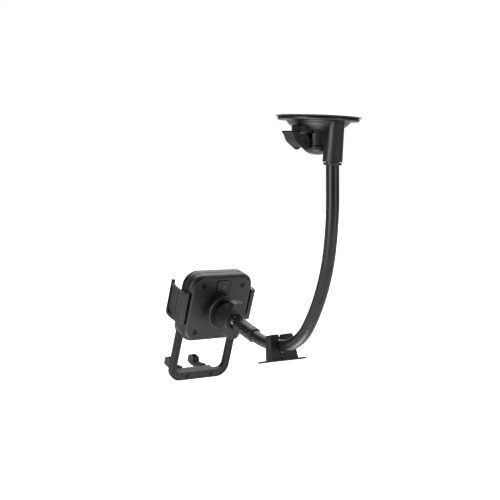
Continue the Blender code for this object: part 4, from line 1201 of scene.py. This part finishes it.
# Pool of light on the floor: centre, radii where it starts and ends fading, strength
POOL_CENTRE = (-0.01, -0.04, 0.0)
POOL_R = (0.03, 0.12)
POOL_GLOW = 7.0
FLOOR_DROP = 0.14
MIDDLE = (-0.05, 0.0, -0.12)
CAMERA_PLACE = (0.5819, -0.4913, -0.0342)
CAMERA_ANGLES = (53.4, 5.1, 2.1)    # azimuth, elevation and roll, degrees
CAMERA_LENS = 72.72


def vector_math(tree, operation, source, other=None):
    made = tree.nodes.new("ShaderNodeVectorMath")
    made.operation = operation
    tree.links.new(source, made.inputs[0])
    if other is not None:
        made.inputs[1].default_value = other
    return made


def panel_glow(tree, coords, direction, narrow, wide, power, glow):
    """Add a soft-edged panel, tall unless it is overhead, to the glow so far."""
    flatten = (1.0, 1.0, 1.0 if direction[2] else 0.25)
    tall = vector_math(tree, "MULTIPLY", coords.outputs["Generated"], flatten)
    unit = vector_math(tree, "NORMALIZE", tall.outputs["Vector"])
    facing = vector_math(tree, "DOT_PRODUCT", unit.outputs["Vector"], Vector(direction).normalized())
    shape = node(tree, "ShaderNodeMapRange", From_Min=wide, From_Max=narrow, To_Max=power)
    shape.interpolation_type = "SMOOTHSTEP"
    tree.links.new(facing.outputs["Value"], shape.inputs["Value"])
    total = tree.nodes.new("ShaderNodeMath")
    tree.links.new(glow, total.inputs[0])
    tree.links.new(shape.outputs["Result"], total.inputs[1])
    return total.outputs["Value"]


def seen_or_lit(tree, lit, seen):
    """Strength that the camera sees as one value, while all other rays get another."""
    path = tree.nodes.new("ShaderNodeLightPath")
    level = node(tree, "ShaderNodeMapRange", To_Max=seen)
    tree.links.new(lit, level.inputs["To Min"])
    tree.links.new(path.outputs["Is Camera Ray"], level.inputs["Value"])
    return level.outputs["Result"]


def studio_room():
    """Dim room with bright panels, white where the camera sees it directly."""
    world = bpy.data.worlds.new("studio_white")
    bpy.context.scene.world = world
    world.use_nodes = True
    tree = world.node_tree
    back = tree.nodes["Background"]
    coords = tree.nodes.new("ShaderNodeTexCoord")
    base = tree.nodes.new("ShaderNodeValue")
    base.outputs[0].default_value = ROOM_LIGHT
    glow = base.outputs[0]
    for direction, narrow, wide, power in PANELS:
        glow = panel_glow(tree, coords, direction, narrow, wide, power, glow)
    tree.links.new(seen_or_lit(tree, glow, 1.05), back.inputs["Strength"])
    back.inputs["Color"].default_value = (1.0, 1.0, 1.0, 1.0)


def floor_paint():
    """Pale floor with a bright pool on it, white where the camera sees it directly."""
    pale = bpy.data.materials.new("pale_floor")
    pale.use_nodes = True
    tree = pale.node_tree
    shader = tree.nodes["Principled BSDF"]
    shader.inputs["Base Color"].default_value = (0.8, 0.8, 0.8, 1.0)
    shader.inputs["Roughness"].default_value = 0.9
    shader.inputs["Emission Color"].default_value = (1.0, 1.0, 1.0, 1.0)
    place = tree.nodes.new("ShaderNodeTexCoord")
    reach = vector_math(tree, "DISTANCE", place.outputs["Object"], POOL_CENTRE)
    near, far = POOL_R
    pool = node(tree, "ShaderNodeMapRange", From_Min=near, From_Max=far, To_Min=POOL_GLOW, To_Max=0.2)
    tree.links.new(reach.outputs["Value"], pool.inputs["Value"])
    tree.links.new(seen_or_lit(tree, pool.outputs["Result"], 1.0), shader.inputs["Emission Strength"])
    return pale


def studio():
    bpy.context.scene.view_settings.view_transform = "Standard"
    studio_room()
    bm = bmesh.new()
    bmesh.ops.create_circle(bm, cap_ends=True, segments=96, radius=6.0)
    floor = temp_object("studio_floor", bm)
    floor.location.z = CAD_BOUNDS[0][2] - FLOOR_DROP
    floor.data.materials.append(floor_paint())


def area(name, place, size, power):
    """Rectangular lamp aimed at the middle of the object."""
    light = bpy.data.lights.new(name, "AREA")
    light.shape = "RECTANGLE"
    light.size, light.size_y = size
    light.energy = power
    obj = bpy.data.objects.new(name, light)
    bpy.context.scene.collection.objects.link(obj)
    obj.location = place
    obj.rotation_euler = (Vector(MIDDLE) - Vector(place)).to_track_quat("-Z", "Y").to_euler()


def lights():
    area("key_left", (0.1, -1.2, 0.3), (0.5, 1.2), 6.0)
    area("fill_right", (1.15, 0.4, 0.1), (0.35, 1.2), 2.5)
    area("top", (-0.35, 0.2, 1.1), (1.0, 1.0), 5.0)


def camera():
    """Camera at the photograph's angle, a little rolled."""
    azimuth, elevation, roll = [radians(angle) for angle in CAMERA_ANGLES]
    ahead = -Vector((sin(azimuth) * cos(elevation), -cos(azimuth) * cos(elevation), sin(elevation)))
    level = Vector((cos(azimuth), sin(azimuth), 0.0))
    upright = level.cross(ahead)
    right = level * cos(roll) + upright * sin(roll)
    up = -level * sin(roll) + upright * cos(roll)
    data = bpy.data.cameras.new("camera")
    data.sensor_width = 36.0
    data.lens = CAMERA_LENS
    data.clip_start = 0.01
    data.clip_end = 50.0
    obj = bpy.data.objects.new("camera", data)
    bpy.context.scene.collection.objects.link(obj)
    obj.matrix_world = Matrix((
        (right.x, up.x, -ahead.x, CAMERA_PLACE[0]),
        (right.y, up.y, -ahead.y, CAMERA_PLACE[1]),
        (right.z, up.z, -ahead.z, CAMERA_PLACE[2]),
        (0.0, 0.0, 0.0, 1.0),
    ))
    bpy.context.scene.camera = obj


def gear_finish():
    """The gear keeps its CAD shape and gets a worked material."""
    gear = frame["nodes"]["drive_gear"]
    gear.data.materials.clear()
    gear.data.materials.append(SATIN)


def build():
    suction_disc()
    cup_housing()
    cup_cap()
    plunger_arm()
    cup_spring()
    lever()
    lever_axle()
    collar()
    neck()
    clip()
    ball_joint()
    ferrule()
    nut()
    cover_back()
    cover_front()
    pad_front()
    screws()
    for name, side in (("left_arm", -1), ("right_arm", 1)):
        arm(name, side)
        arm_grip(name, side)
    button()
    button_spring()
    support()
    for name, side in (("left_foot", -1), ("right_foot", 1)):
        foot(name, side)
        foot_grip(name, side)
    gear_finish()
    studio()
    lights()
    camera()


build()
